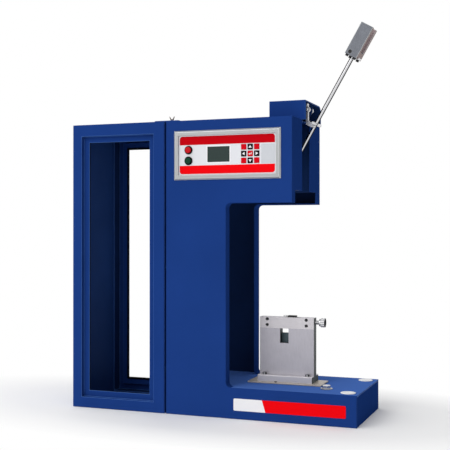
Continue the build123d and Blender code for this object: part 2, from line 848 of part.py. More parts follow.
for z, name in zip(button_z, button_names):
    with BuildPart() as cap:
        with BuildSketch(xz(overlay_front - button_proud)):
            with Locations((button_x, z)):
                Circle(button_cap_radius)
        extrude(amount=-14.0)
        fillet(faces().sort_by(Axis.Y)[0].edges(), radius=1.2)
    save(cap.part, name)

board_y = overlay_front + overlay_thick + board_gap
board_margin = 6.0
board_left = hole_left + board_margin
board_low = hole_low + board_margin
board_length = hole_right - hole_left - 2 * board_margin
board_height = hole_high - hole_low - 2 * board_margin
# Each part on the board, as shares of the board: place across and up, width, height and depth
board_parts = (
    (0.52, 0.70, 0.12, 0.35, 0.22),
    (0.77, 0.30, 0.07, 0.28, 0.34),
    (0.23, 0.64, 0.11, 0.23, 0.52),
    (0.94, 0.76, 0.08, 0.14, 0.45),
)
with BuildPart() as control_board:
    with BuildSketch(xz(board_y)):
        slab(board_left, board_left + board_length, board_low, board_low + board_height)
    extrude(amount=-board_thick)
    for across, up, wide, tall, deep in board_parts:
        with BuildSketch(xz(board_y + board_thick)):
            with Locations((board_left + across * board_length, board_low + up * board_height)):
                Rectangle(wide * board_length, tall * board_height)
        extrude(amount=-deep * board_gap)
save(control_board.part, "control_board")

with BuildPart() as standoffs:
    with BuildSketch(xz(overlay_front + overlay_thick)):
        for x in (board_left + board_margin, board_left + board_length - board_margin):
            for z in (board_low + board_margin, board_low + board_height - board_margin):
                with Locations((x, z)):
                    Circle(post_radius)
    extrude(amount=-board_gap)
    with BuildSketch(at_pivot(plate_rear_y + bearing_plate_thick)):
        with PolarLocations(post_ring_radius, 3, start_angle=90):
            Circle(post_radius)
    extrude(amount=-(encoder_plate_y - plate_rear_y - bearing_plate_thick))
save(standoffs.part, "standoffs")

# Two-part name strip on the base front, left bare
strip_left = -99.0
strip_right = 178.5
strip_low = 20.7
strip_high = 50.0
strip_thick = 0.8
joint_top = -26.5
joint_low = -17.5
strip_radius = 3.0


with BuildPart() as name_strip:
    with BuildSketch(xz(y_front)):
        Polygon(
            (strip_left, strip_low),
            (joint_low - 0.2, strip_low),
            (joint_top - 0.2, strip_high),
            (strip_left, strip_high),
            align=None,
        )
        Polygon(
            (joint_low, strip_low),
            (strip_right, strip_low),
            (strip_right, strip_high),
            (joint_top, strip_high),
            align=None,
        )
        fillet(vertices().group_by(Axis.X)[0] + vertices().group_by(Axis.X)[-1], radius=strip_radius)
    extrude(amount=strip_thick)
save(name_strip.part, "name_strip")

# Release housing: a folded hood, open to the right, with a round rear top edge
hood_top = body_height + housing_height
with BuildPart() as release_housing:
    with BuildSketch(Plane.YZ.offset(housing_left)):
        slab(housing_front, housing_rear, body_height, hood_top)
        top_corners = vertices().group_by(Axis.Y)[-1].sort_by(Axis.X)
        fillet(top_corners[-1], radius=housing_corner)
        fillet(top_corners[0], radius=bend_radius)
    extrude(amount=housing_right - housing_left)
    with BuildSketch(Plane.YZ.offset(housing_left + sheet)):
        slab(housing_front + sheet, housing_rear - sheet, body_height - 1, hood_top - sheet)
        inner_corners = vertices().group_by(Axis.Y)[-1].sort_by(Axis.X)
        fillet(inner_corners[-1], radius=housing_corner - sheet)
    extrude(amount=far, mode=Mode.SUBTRACT)
    lip_rear = housing_front + hood_lip
    block(housing_right - sheet, housing_right, housing_front, lip_rear, body_height, hood_top - bend_radius)
save(release_housing.part, "release_housing")

# Latch on a bracket inside the hood, pushed by a small solenoid
latch_z = body_height + 27.5
bracket_front = 2.0
bracket_thick = 6.0
bracket_left = -10.0
bracket_foot = 24.0
latch_clear = 0.3
with BuildPart() as latch_bracket:
    with BuildSketch(xz(bracket_front)):
        with BuildLine():
            Polyline(
                (bracket_left, body_height),
                (x_head - sheet, body_height),
                (latch_x + 7.0, latch_z - 4.0),
                (latch_x + 7.0, latch_z + 7.0),
                (bracket_left, latch_z + 7.0),
                close=True,
            )
        make_face()
        with Locations((latch_x, latch_z)):
            Circle(latch_pin_radius, mode=Mode.SUBTRACT)
    extrude(amount=-bracket_thick)
    foot_start = bracket_front + bracket_thick
    foot_end = bracket_front + bracket_foot
    block(bracket_left, x_head - sheet, foot_start, foot_end, body_height, body_height + 4.0)
save(latch_bracket.part, "latch_bracket")

with BuildPart() as latch_pivot_pin:
    with BuildSketch(xz(latch_front - 4.0)):
        with Locations((latch_x, latch_z)):
            Circle(latch_pin_radius)
    extrude(amount=-(bracket_front + bracket_thick - latch_front + 4.0))
    fillet(edges().filter_by(GeomType.CIRCLE).group_by(Axis.Y)[0], radius=1.8)
    with BuildSketch(xz(bracket_front + bracket_thick)):
        with Locations((latch_x, latch_z)):
            Circle(7.2)
    extrude(amount=-8.0)
    fillet(edges().filter_by(GeomType.CIRCLE).group_by(Axis.Y)[-1], radius=1.0)
save(latch_pivot_pin.part, "latch_pivot_pin")

catch_x = swing.offset(catch_radius).origin.X
catch_z = swing.offset(catch_radius).origin.Z
lever_half = 3.0
hook_depth = 9.5
with BuildPart() as latch_lever:
    with BuildSketch(xz(latch_front)):
        with Locations((latch_x, latch_z)):
            Circle(latch_pin_radius + 3.5)
        slab(latch_x - lever_half, latch_x + lever_half, latch_z - latch_drop, latch_z)
        slab(latch_x - 2.6, latch_x + 2.6, latch_z, latch_z + latch_tail + 4.0)
        with BuildLine():
            Polyline(
                (latch_x - lever_half, latch_z - latch_drop + 2.0),
                (latch_x - lever_half, latch_z - latch_drop - 2.5),
                (catch_x - 5.0, catch_z - hook_depth),
                (catch_x + 2.0, catch_z - hook_depth),
                (catch_x + 2.0, catch_z),
                (catch_x - 6.5, catch_z + 1.5),
                (latch_x + lever_half, latch_z - latch_drop + 8.0),
                close=True,
            )
        make_face()
        with Locations((catch_x, catch_z)):
            Circle(catch_pin_radius + latch_clear, mode=Mode.SUBTRACT)
        with Locations(Location((catch_x, catch_z, 0), (0, 0, -rest_angle))):
            Rectangle(
                far,
                2 * (catch_pin_radius + latch_clear),
                align=(Align.MIN, Align.CENTER),
                mode=Mode.SUBTRACT,
            )
        with Locations((latch_x, latch_z)):
            Circle(latch_pin_radius + running_fit, mode=Mode.SUBTRACT)
        with Locations((latch_x, latch_z + latch_tail)):
            SlotOverall(7.5, 3.4, rotation=90, mode=Mode.SUBTRACT)
    extrude(amount=-latch_thick)
save(latch_lever.part, "latch_lever")

plunger_z = latch_z + latch_tail
plunger_radius = 3.0
solenoid_left = -28.0
solenoid_right = 8.0
solenoid_half = 12.0
plunger_y = latch_front - 7.0
with BuildPart() as solenoid_body:
    low = plunger_y - solenoid_half
    high = plunger_y + solenoid_half
    block(solenoid_left, solenoid_right, low, high, body_height, plunger_z + 7.0)
    with BuildSketch(Plane.YZ.offset(solenoid_right)):
        with Locations((plunger_y, plunger_z)):
            Circle(plunger_radius + running_fit)
    extrude(amount=-30.0, mode=Mode.SUBTRACT)
save(solenoid_body.part, "solenoid_body")

with BuildPart() as solenoid_plunger:
    with BuildSketch(Plane.YZ.offset(solenoid_right - 20.0)):
        with Locations((plunger_y, plunger_z)):
            Circle(plunger_radius)
    extrude(amount=latch_x + 3.0 - solenoid_right + 20.0)
    with BuildSketch(xz(plunger_y)):
        with Locations((latch_x, plunger_z)):
            Circle(1.2)
    extrude(amount=-(latch_front + latch_thick - plunger_y))
save(solenoid_plunger.part, "solenoid_plunger")

# Mains inlet and switch in the rear face
rocker_half = 5.4
with BuildPart() as power_inlet:
    with BuildSketch(xz(y_rear)):
        with Locations((inlet_x, inlet_z)):
            RectangleRounded(inlet_width + 9, inlet_height + 6, 3.0)
    extrude(amount=-2.5)
    with BuildSketch(xz(y_rear)):
        with Locations((inlet_x, inlet_z)):
            Rectangle(inlet_width, inlet_height)
    extrude(amount=22.0)
    with BuildSketch(xz(y_rear + 2.5)):
        with Locations((inlet_x, inlet_z)):
            RectangleRounded(25.0, 18.0, 2.5)
    extrude(amount=19.0, mode=Mode.SUBTRACT)
    with BuildSketch(xz(y_rear - 16.5)):
        for pin_x, pin_z in ((0.0, 3.5), (-7.0, -2.5), (7.0, -2.5)):
            with Locations((inlet_x + pin_x, inlet_z + pin_z)):
                Rectangle(2.0, 5.0)
    extrude(amount=-15.0)

    with BuildSketch(xz(y_rear)):
        with Locations((switch_x, inlet_z)):
            RectangleRounded(switch_width + 4, switch_height + 4, 1.5)
    extrude(amount=-2.5)
    with BuildSketch(xz(y_rear)):
        with Locations((switch_x, inlet_z)):
            Rectangle(switch_width, switch_height)
    extrude(amount=16.0)
    with BuildSketch(xz(y_rear + 2.5)):
        with Locations((switch_x, inlet_z)):
            Rectangle(15.0, 2 * rocker_half + 0.4)
    extrude(amount=10.5, mode=Mode.SUBTRACT)
save(power_inlet.part, "power_inlet")

with BuildPart() as switch_rocker:
    with BuildSketch(Plane(origin=(switch_x, y_rear, inlet_z - rocker_half), x_dir=(1, 0, 0), z_dir=(0, 0, 1))):
        with BuildLine():
            Polyline((-6.7, -2.5), (6.7, -2.5), (6.7, 2.6), (0, 1.2), (-6.7, 4.2), close=True)
        make_face()
    extrude(amount=2 * rocker_half)
save(switch_rocker.part, "switch_rocker")
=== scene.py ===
"""Looks of a pendulum impact tester: painted frame, swinging hammer, vise and control panel."""

import json
import math

import bpy
from mathutils import Matrix, Vector

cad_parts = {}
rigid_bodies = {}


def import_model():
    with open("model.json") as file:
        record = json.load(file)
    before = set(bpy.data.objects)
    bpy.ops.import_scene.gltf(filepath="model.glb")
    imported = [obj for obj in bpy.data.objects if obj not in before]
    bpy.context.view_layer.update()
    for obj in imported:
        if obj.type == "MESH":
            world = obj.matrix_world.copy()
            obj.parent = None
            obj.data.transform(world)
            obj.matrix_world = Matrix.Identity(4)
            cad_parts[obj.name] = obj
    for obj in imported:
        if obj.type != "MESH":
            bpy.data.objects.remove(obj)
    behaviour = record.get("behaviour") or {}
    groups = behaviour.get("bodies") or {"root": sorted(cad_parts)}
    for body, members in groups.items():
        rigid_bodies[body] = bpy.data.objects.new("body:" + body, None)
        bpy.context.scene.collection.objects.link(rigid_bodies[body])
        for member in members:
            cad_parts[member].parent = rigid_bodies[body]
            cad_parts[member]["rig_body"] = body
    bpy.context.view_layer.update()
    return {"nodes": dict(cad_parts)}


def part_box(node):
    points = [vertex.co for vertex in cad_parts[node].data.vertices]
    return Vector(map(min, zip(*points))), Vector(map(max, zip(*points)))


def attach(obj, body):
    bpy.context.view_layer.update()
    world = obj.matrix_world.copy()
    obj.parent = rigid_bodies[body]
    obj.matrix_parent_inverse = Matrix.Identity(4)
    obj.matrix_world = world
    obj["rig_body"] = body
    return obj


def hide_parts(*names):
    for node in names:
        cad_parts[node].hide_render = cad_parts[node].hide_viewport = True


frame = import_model()
NODES = frame["nodes"]

bl_info = {
    "name": "Pendulum Impact Tester",
    "version": (1, 0, 0),
    "blender": (4, 5, 0),
    "location": "View3D > Sidebar > Tester",
    "description": "Finishes the frame, pendulum, vise and panel of an impact tester",
    "category": "Object",
}

# Sizes that no node's box gives, in metres
COLUMN_WIDTH = 0.160  # hollow column, from the left side of the frame
BASE_BEYOND_HEAD = 0.155  # from the right end of the head to that of the base
HEAD_UNDERSIDE = 0.524  # height of the head's underside
SHEET = 0.002  # what lies deeper than this is inside the folded sheet
WINDOW_EDGES = (0.042, 0.046, 0.043, 0.046)  # guard window, from the left, right, foot and top
WINDOW_LIP = 0.015  # depth of the lip behind the face of a guard frame
SEAL_WIDTH, SEAL_OVERLAP, SEAL_THICKNESS = 0.005, 0.0006, 0.0025
RETURN_WIDTH, RETURN_SETBACK = 0.0075, 0.0015  # folded returns of a guard frame
JOINT_WIDTH = 0.006  # joint between the guard box and the column, with its rounding
HOOD_BEND = 0.018  # outer radius of the hood's rear edge
NOTCH_TOP, PLATE_SKIN = 0.006, 0.002  # the vise plate's notch lies deeper, from the top and the front
STRIP_JOINT = -0.0222  # where the two parts of the name strip meet
BAND_EDGE = 0.0031  # from the side of the panel plate to its printed bands
TOP_BAND, FOOT_BAND = (0.0236, 0.0025), (0.0027, 0.0234)  # from the plate's top, and from its foot
BAND_CORNER = 0.007
# The black band inside the display's edge is painted shade.
DISPLAY_RIM, DISPLAY_EDGE_SHADE = 0.0026, 0.0012  # widths outside and inside the display's edge
FIELD_GAPS = (0.0045, 0.0245, 0.0265)  # side field, from the keys, the plate's foot and its top
HAMMER_LEAN = math.radians(30.0)  # of the raised hammer, from upright
CHEEK = 0.002  # what lies deeper than this is in the slot of the hammer

# Flat marks on the keys, as points across and up from the key's middle
ARROW = ((0.0040, 0.0), (-0.0025, 0.0040), (-0.0025, -0.0040))
ENTER_MARK = (
    (-0.0040, -0.0010),
    (-0.0014, -0.0032),
    (-0.0014, -0.0017),
    (0.0036, -0.0017),
    (0.0036, 0.0032),
    (0.0022, 0.0032),
    (0.0022, -0.0003),
    (-0.0014, -0.0003),
    (-0.0014, 0.0012),
)

MERGE = 0.000004  # points of a copied CAD mesh nearer than this become one
FILM_MERGE = 0.000002
FLAT = math.radians(0.6)  # faces that turn less than this become one

CAMERA_PLACE = (0.6730, -2.2240, 0.4642)
CAMERA_TURN = (math.radians(90.167), 0.0, math.radians(20.749))
LIT_POINT = (0, 0, 0.4)  # what the lamps point at

# Soft light of the studio: a direction, two degrees of facing it, and the level of light at each
LIGHT_LOBES = (
    ((-0.35, -0.92, 0.15), -0.1, 0.9, 0.0, 0.62),
    ((-0.45, 0.0, 0.89), 0.0, 0.9, 0.0, 1.15),
    ((1.0, 0.0, 0.0), -0.3, 0.6, 0.34, 0.03),
)


def colour_setting(name, description, default):
    """A colour that a user may change."""
    return bpy.props.FloatVectorProperty(
        name=name, description=description, default=default, subtype="COLOR", size=3, min=0.0, max=1.0
    )


def length_setting(name, description, default):
    """A length that a user may change."""
    return bpy.props.FloatProperty(
        name=name, description=description, default=default, unit="LENGTH", subtype="DISTANCE", min=0.0
    )


def level_setting(name, description, default, least=0.0):
    """A plain number that a user may change."""
    return bpy.props.FloatProperty(name=name, description=description, default=default, min=least)


class TesterPaint(bpy.types.PropertyGroup):
    """Colours of the paint, print and plastics."""

    frame_blue: colour_setting("Frame blue", "Powder coat of the frame", (0.0130, 0.0480, 0.226))
    # Painted highlight: a lighter blue painted on the bevelled edges of the sheet metal.
    edge_highlight_blue: colour_setting("Edge blue", "Thin coat on the folded edges", (0.060, 0.150, 0.44))
    # Painted shade: a darker blue for faces inside the box, column, head and housing, where shade falls.
    inside_shade_blue: colour_setting("Inside blue", "Coat inside the box and column", (0.0105, 0.0340, 0.130))
    print_red: colour_setting("Print red", "Lower band and the name strip", (0.93, 0.002, 0.006))
    print_dark_red: colour_setting("Dark print red", "Upper band of the panel", (0.56, 0.001, 0.006))
    print_white: colour_setting("Print white", "Ground of the panel print", (0.78, 0.79, 0.83))
    display: colour_setting("Display", "Resting display", (0.026, 0.046, 0.042))


class TesterMetal(bpy.types.PropertyGroup):
    """Colours of the bare metals."""

    vise_steel: colour_setting("Vise steel", "Ground steel of the vise", (0.52, 0.505, 0.555))
    hammer_alloy: colour_setting("Hammer alloy", "Milled block of the hammer", (0.165, 0.175, 0.20))
    bright_steel: colour_setting("Bright steel", "Plated screws and washers", (0.62, 0.62, 0.63))
    chrome: colour_setting("Chrome", "Pendulum rod", (0.72, 0.72, 0.74))


class TesterEdges(bpy.types.PropertyGroup):
    """Radii of the softened edges."""

    sheet_edge: length_setting("Sheet edge", "Rounding of sheet-metal edges", 0.0008)
    metal_edge: length_setting("Metal edge", "Rounding of machined edges", 0.0005)
    plastic_edge: length_setting("Plastic edge", "Rounding of moulded edges", 0.0004)
    print_thickness: length_setting("Print thickness", "Thickness of the printed film", 0.00012)


class TesterStage(bpy.types.PropertyGroup):
    """Floor, light and camera."""

    floor_colour: colour_setting("Floor", "Colour of the floor under the object", (0.92, 0.92, 0.925))
    key_power: level_setting("Key light", "Power of the main light in watts", 29.0)
    fill_power: level_setting("Fill light", "Power of the side light in watts", 1.5)
    sky: level_setting("Sky", "Level of the light from all round", 0.74)
    lens: level_setting("Lens", "Focal length in millimetres", 73.6, 10.0)


def shader_group(name, inputs, outputs):
    """An empty shader node group with named sockets, and its two end nodes."""
    group = bpy.data.node_groups.new(name, "ShaderNodeTree")
    for label, kind, default in inputs:
        socket = group.interface.new_socket(name=label, in_out="INPUT", socket_type=kind)
        socket.default_value = default
    for label, kind in outputs:
        group.interface.new_socket(name=label, in_out="OUTPUT", socket_type=kind)
    return group, group.nodes.new("NodeGroupInput"), group.nodes.new("NodeGroupOutput")


def noise(tree, vector, scale, detail=3.0, roughness=0.5):
    """A noise texture on the given coordinates."""
    node = tree.nodes.new("ShaderNodeTexNoise")
    node.inputs["Detail"].default_value = detail
    node.inputs["Roughness"].default_value = roughness
    tree.links.new(vector, node.inputs["Vector"])
    if isinstance(scale, float):
        node.inputs["Scale"].default_value = scale
    else:
        tree.links.new(scale, node.inputs["Scale"])
    return node.outputs["Fac"]


def spread(tree, value, low, high, out_low=0.0, out_high=1.0):
    """The value mapped from one range to another, clamped."""
    node = tree.nodes.new("ShaderNodeMapRange")
    node.inputs["From Min"].default_value = low
    node.inputs["From Max"].default_value = high
    node.inputs["To Min"].default_value = out_low
    node.inputs["To Max"].default_value = out_high
    tree.links.new(value, node.inputs["Value"])
    return node.outputs["Result"]


def mix_colours(tree, factor, first, second):
    """Colour between two others. Sockets are linked and tuples are set."""
    node = tree.nodes.new("ShaderNodeMix")
    node.data_type = "RGBA"
    tree.links.new(factor, node.inputs["Factor"])
    for source, index in ((first, 6), (second, 7)):
        if isinstance(source, tuple):
            node.inputs[index].default_value = source
        else:
            tree.links.new(source, node.inputs[index])
    return node.outputs[2]


def calculate(tree, operation, first, second):
    """One arithmetic node on two sockets or numbers."""
    node = tree.nodes.new("ShaderNodeMath")
    node.operation = operation
    for source, socket in ((first, node.inputs[0]), (second, node.inputs[1])):
        if isinstance(source, float):
            socket.default_value = source
        else:
            tree.links.new(source, socket)
    return node.outputs[0]


def make_coat_group():
    """Sprayed powder or film: broad tone drift, fine speckle and an orange-peel height."""
    group, start, end = shader_group(
        "Sprayed Coat",
        [
            ("Vector", "NodeSocketVector", (0, 0, 0)),
            ("Colour", "NodeSocketColor", (0.5, 0.5, 0.5, 1)),
            ("Drift Colour", "NodeSocketColor", (0.5, 0.5, 0.5, 1)),
            ("Peel Scale", "NodeSocketFloat", 900.0),
            ("Base Roughness", "NodeSocketFloat", 0.4),
        ],
        [("Colour", "NodeSocketColor"), ("Roughness", "NodeSocketFloat"), ("Height", "NodeSocketFloat")],
    )
    place = start.outputs["Vector"]
    drift = spread(group, noise(group, place, 5.0, 4.0), 0.35, 0.65)
    speckle = spread(group, noise(group, place, 1400.0, 1.0), 0.3, 0.8)
    tone = calculate(group, "MULTIPLY", drift, 0.75)
    tone = calculate(group, "ADD", tone, calculate(group, "MULTIPLY", speckle, 0.25))
    colour = mix_colours(group, tone, start.outputs["Colour"], start.outputs["Drift Colour"])
    smudge = spread(group, noise(group, place, 22.0, 6.0, 0.65), 0.35, 0.7, -0.03, 0.05)
    group.links.new(colour, end.inputs["Colour"])
    rough = calculate(group, "ADD", start.outputs["Base Roughness"], smudge)
    group.links.new(rough, end.inputs["Roughness"])
    group.links.new(noise(group, place, start.outputs["Peel Scale"], 2.0), end.inputs["Height"])
    return group


def make_grain_group():
    """Ground or drawn metal: long fine lines with broad stains, along one chosen direction."""
    group, start, end = shader_group(
        "Metal Grain",
        [
            ("Vector", "NodeSocketVector", (0, 0, 0)),
            ("Light", "NodeSocketColor", (0.6, 0.6, 0.6, 1)),
            ("Dark", "NodeSocketColor", (0.4, 0.4, 0.4, 1)),
            ("Line Scale", "NodeSocketVector", (1500, 40, 40)),
            ("Base Roughness", "NodeSocketFloat", 0.3),
        ],
        [("Colour", "NodeSocketColor"), ("Roughness", "NodeSocketFloat"), ("Height", "NodeSocketFloat")],
    )
    stretch = group.nodes.new("ShaderNodeVectorMath")
    stretch.operation = "MULTIPLY"
    group.links.new(start.outputs["Vector"], stretch.inputs[0])
    group.links.new(start.outputs["Line Scale"], stretch.inputs[1])
    lines = noise(group, stretch.outputs[0], 1.0, 4.0, 0.6)
    stain = spread(group, noise(group, start.outputs["Vector"], 38.0, 5.0, 0.6), 0.35, 0.7)
    tone = calculate(group, "MULTIPLY", spread(group, lines, 0.3, 0.7), 0.6)
    tone = calculate(group, "ADD", tone, calculate(group, "MULTIPLY", stain, 0.4))
    colour = mix_colours(group, tone, start.outputs["Light"], start.outputs["Dark"])
    worn = spread(group, tone, 0.0, 1.0, -0.05, 0.12)
    rough = calculate(group, "ADD", start.outputs["Base Roughness"], worn)
    group.links.new(colour, end.inputs["Colour"])
    group.links.new(rough, end.inputs["Roughness"])
    group.links.new(lines, end.inputs["Height"])
    return group


def make_dust_group():
    """Mask of light dust that settles on faces turned upwards."""
    group, start, end = shader_group(
        "Settled Dust",
        [("Vector", "NodeSocketVector", (0, 0, 0)), ("Amount", "NodeSocketFloat", 0.1)],
        [("Mask", "NodeSocketFloat")],
    )
    facing = group.nodes.new("ShaderNodeNewGeometry")
    split = group.nodes.new("ShaderNodeSeparateXYZ")
    group.links.new(facing.outputs["Normal"], split.inputs[0])
    up = spread(group, split.outputs["Z"], 0.6, 1.0)
    patch = spread(group, noise(group, start.outputs["Vector"], 60.0, 6.0, 0.7), 0.4, 0.75)
    mask = calculate(group, "MULTIPLY", calculate(group, "MULTIPLY", up, patch), start.outputs["Amount"])
    group.links.new(mask, end.inputs["Mask"])
    return group


def blank_material(name):
    """A new material with one Principled shader and object coordinates."""
    material = bpy.data.materials.new(name)
    material.use_nodes = True
    tree = material.node_tree
    shader = tree.nodes["Principled BSDF"]
    place = tree.nodes.new("ShaderNodeTexCoord").outputs["Object"]
    return material, tree, shader, place


def use_group(tree, name, **values):
    """A node of a shared group with its own values."""
    node = tree.nodes.new("ShaderNodeGroup")
    node.node_tree = bpy.data.node_groups[name]
    for label, value in values.items():
        socket = node.inputs[label.replace("_", " ")]
        if isinstance(value, bpy.types.NodeSocket):
            tree.links.new(value, socket)
        else:
            socket.default_value = value
    return node


def opaque(colour):
    """A colour with full alpha."""
    return (*colour, 1.0)


def toned(colour, share):
    """The same colour, made darker or lighter."""
    return tuple(channel * share for channel in colour)


def relief(tree, shader, height, distance, strength):
    """Fine surface relief from a height."""
    bump = tree.nodes.new("ShaderNodeBump")
    bump.inputs["Distance"].default_value = distance
    bump.inputs["Strength"].default_value = strength
    tree.links.new(height, bump.inputs["Height"])
    tree.links.new(bump.outputs["Normal"], shader.inputs["Normal"])


def turned_away(tree, low, high):
    """Mask of what turns away from the viewer, between two levels."""
    away = tree.nodes.new("ShaderNodeLayerWeight")
    away.inputs["Blend"].default_value = 0.5
    return spread(tree, away.outputs["Facing"], low, high)


def coated(name, colour, shade, roughness, shine, peel=900.0, depth=0.00006, dust=0.0, painted_sheen=None):
    """Painted, printed or moulded finish. A painted sheen is a lighter colour painted where the surface is
    seen at a shallow angle.
    """
    material, tree, shader, place = blank_material(name)
    coat_node = use_group(
        tree,
        "Sprayed Coat",
        Vector=place,
        Colour=opaque(colour),
        Drift_Colour=opaque(toned(colour, shade)),
        Peel_Scale=peel,
        Base_Roughness=roughness,
    )
    surface = coat_node.outputs["Colour"]
    if dust > 0.0:
        dust_node = use_group(tree, "Settled Dust", Vector=place, Amount=dust)
        surface = mix_colours(tree, dust_node.outputs["Mask"], surface, (0.42, 0.42, 0.43, 1.0))
    if painted_sheen:
        # Painted sheen: lighter where the face turns away from the viewer.
        surface = mix_colours(tree, turned_away(tree, 0.70, 0.83), surface, opaque(painted_sheen))
    tree.links.new(surface, shader.inputs["Base Color"])
    tree.links.new(coat_node.outputs["Roughness"], shader.inputs["Roughness"])
    shader.inputs["Specular IOR Level"].default_value = shine
    relief(tree, shader, coat_node.outputs["Height"], depth, 0.35)
    return material


def metal(name, colour, lines, roughness, shade, metallic=1.0, depth=0.00003, painted_rim_shade=1.0):
    """Bare or plated metal with a grain. A painted rim shade under 1 paints the colour darker where the
    surface turns away, a painted reflection of dark surroundings on a round bar.
    """
    material, tree, shader, place = blank_material(name)
    grain = use_group(
        tree,
        "Metal Grain",
        Vector=place,
        Light=opaque(colour),
        Dark=opaque(toned(colour, shade)),
        Line_Scale=lines,
        Base_Roughness=roughness,
    )
    surface = grain.outputs["Colour"]
    # Painted reflection: darker towards the edges of a round bar, with a duller specular tint.
    if painted_rim_shade < 1.0:
        surface = mix_colours(tree, turned_away(tree, 0.03, 0.22), surface, opaque(toned(colour, painted_rim_shade)))
        shader.inputs["Specular Tint"].default_value = (0.25, 0.25, 0.27, 1.0)
    tree.links.new(surface, shader.inputs["Base Color"])
    tree.links.new(grain.outputs["Roughness"], shader.inputs["Roughness"])
    shader.inputs["Metallic"].default_value = metallic
    relief(tree, shader, grain.outputs["Height"], depth, 0.3)
    return material


def make_display_material(name, colour):
    """Resting display: faint columns and rows of picture cells behind a glossy window."""
    material, tree, shader, place = blank_material(name)
    cells = tree.nodes.new("ShaderNodeTexBrick")
    cells.offset = 0.0
    turn = tree.nodes.new("ShaderNodeMapping")
    turn.inputs["Rotation"].default_value = (math.radians(-90.0), 0, 0)
    tree.links.new(place, turn.inputs["Vector"])
    tree.links.new(turn.outputs["Vector"], cells.inputs["Vector"])
    cells.inputs["Color1"].default_value = opaque(colour)
    cells.inputs["Color2"].default_value = opaque(toned(colour, 0.92))
    cells.inputs["Mortar"].default_value = opaque(toned(colour, 0.8))
    cells.inputs["Scale"].default_value = 1.0
    cells.inputs["Brick Width"].default_value = 0.0009
    cells.inputs["Row Height"].default_value = 0.0009
    cells.inputs["Mortar Size"].default_value = 0.00008
    tree.links.new(cells.outputs["Color"], shader.inputs["Base Color"])
    clouds = spread(tree, noise(tree, place, 30.0, 3.0), 0.3, 0.7, 0.14, 0.24)
    tree.links.new(clouds, shader.inputs["Roughness"])
    shader.inputs["Specular IOR Level"].default_value = 0.25
    return material


def coat_finishes(paint):
    """Colour, shade of the drift and other settings of each painted, printed or moulded finish."""
    blue, inside = tuple(paint.frame_blue), tuple(paint.inside_shade_blue)
    printed = {"roughness": 0.4, "shine": 0.02, "peel": 2200.0, "depth": 0.00002}
    moulded = {"roughness": 0.26, "shine": 0.14, "peel": 1800.0, "depth": 0.00002}
    sprayed = {"roughness": 0.45, "shine": 0.0}
    painted_shade_settings = {"roughness": 0.6, "shine": 0.02}
    return {
        "print_white": (tuple(paint.print_white), 0.95, printed),
        "print_pale": ((0.90, 0.90, 0.92), 0.95, printed),
        "print_grey": ((0.62, 0.64, 0.68), 0.95, printed),
        "print_red": (tuple(paint.print_red), 0.95, printed),
        "print_dark_red": (tuple(paint.print_dark_red), 0.95, printed),
        "key_red": ((0.64, 0.004, 0.012), 0.95, printed),
        "print_black": ((0.005, 0.005, 0.006), 0.95, printed),
        "blue_coat": (blue, 0.88, sprayed),
        # Painted sheen: the base top is painted lighter where it is seen at a shallow angle.
        "top_coat_sheen": (blue, 0.88, {**sprayed, "painted_sheen": (0.064, 0.150, 0.47)}),
        # Painted highlight on the bevelled edges of the sheet metal.
        "blue_edge_highlight": (tuple(paint.edge_highlight_blue), 0.85, {"roughness": 0.38, "shine": 0.03}),
        # Painted shade: darker coats for faces inside the frame, the guard box and the release housing, the
        # deepest inside the column.
        "inside_shade_coat": (inside, 0.72, painted_shade_settings),
        "box_shade_coat": (toned(inside, 1.5), 0.72, painted_shade_settings),
        "deep_shade_coat": (toned(inside, 0.6), 0.6, painted_shade_settings),
        "red_plastic": ((0.60, 0.006, 0.012), 0.85, moulded),
        "green_plastic": ((0.002, 0.055, 0.026), 0.8, moulded),
        "black_plastic": (
            (0.006, 0.006, 0.007),
            0.8,
            {"roughness": 0.45, "shine": 0.12, "peel": 1600.0, "depth": 0.00004},
        ),
        # Black rubber, also used as painted shade on the clamp knob's end.
        "black_rubber_and_shade": (
            (0.004, 0.005, 0.008),
            0.8,
            {"roughness": 0.7, "shine": 0.05, "peel": 1200.0, "depth": 0.00005},
        ),
        "white_plastic": (
            (0.84, 0.84, 0.85),
            0.95,
            {"roughness": 0.35, "shine": 0.3, "peel": 1800.0, "depth": 0.00002, "dust": 0.10},
        ),
        "board_green": (
            (0.01, 0.09, 0.03),
            0.7,
            {"roughness": 0.4, "shine": 0.4, "peel": 700.0, "depth": 0.00005},
        ),
    }


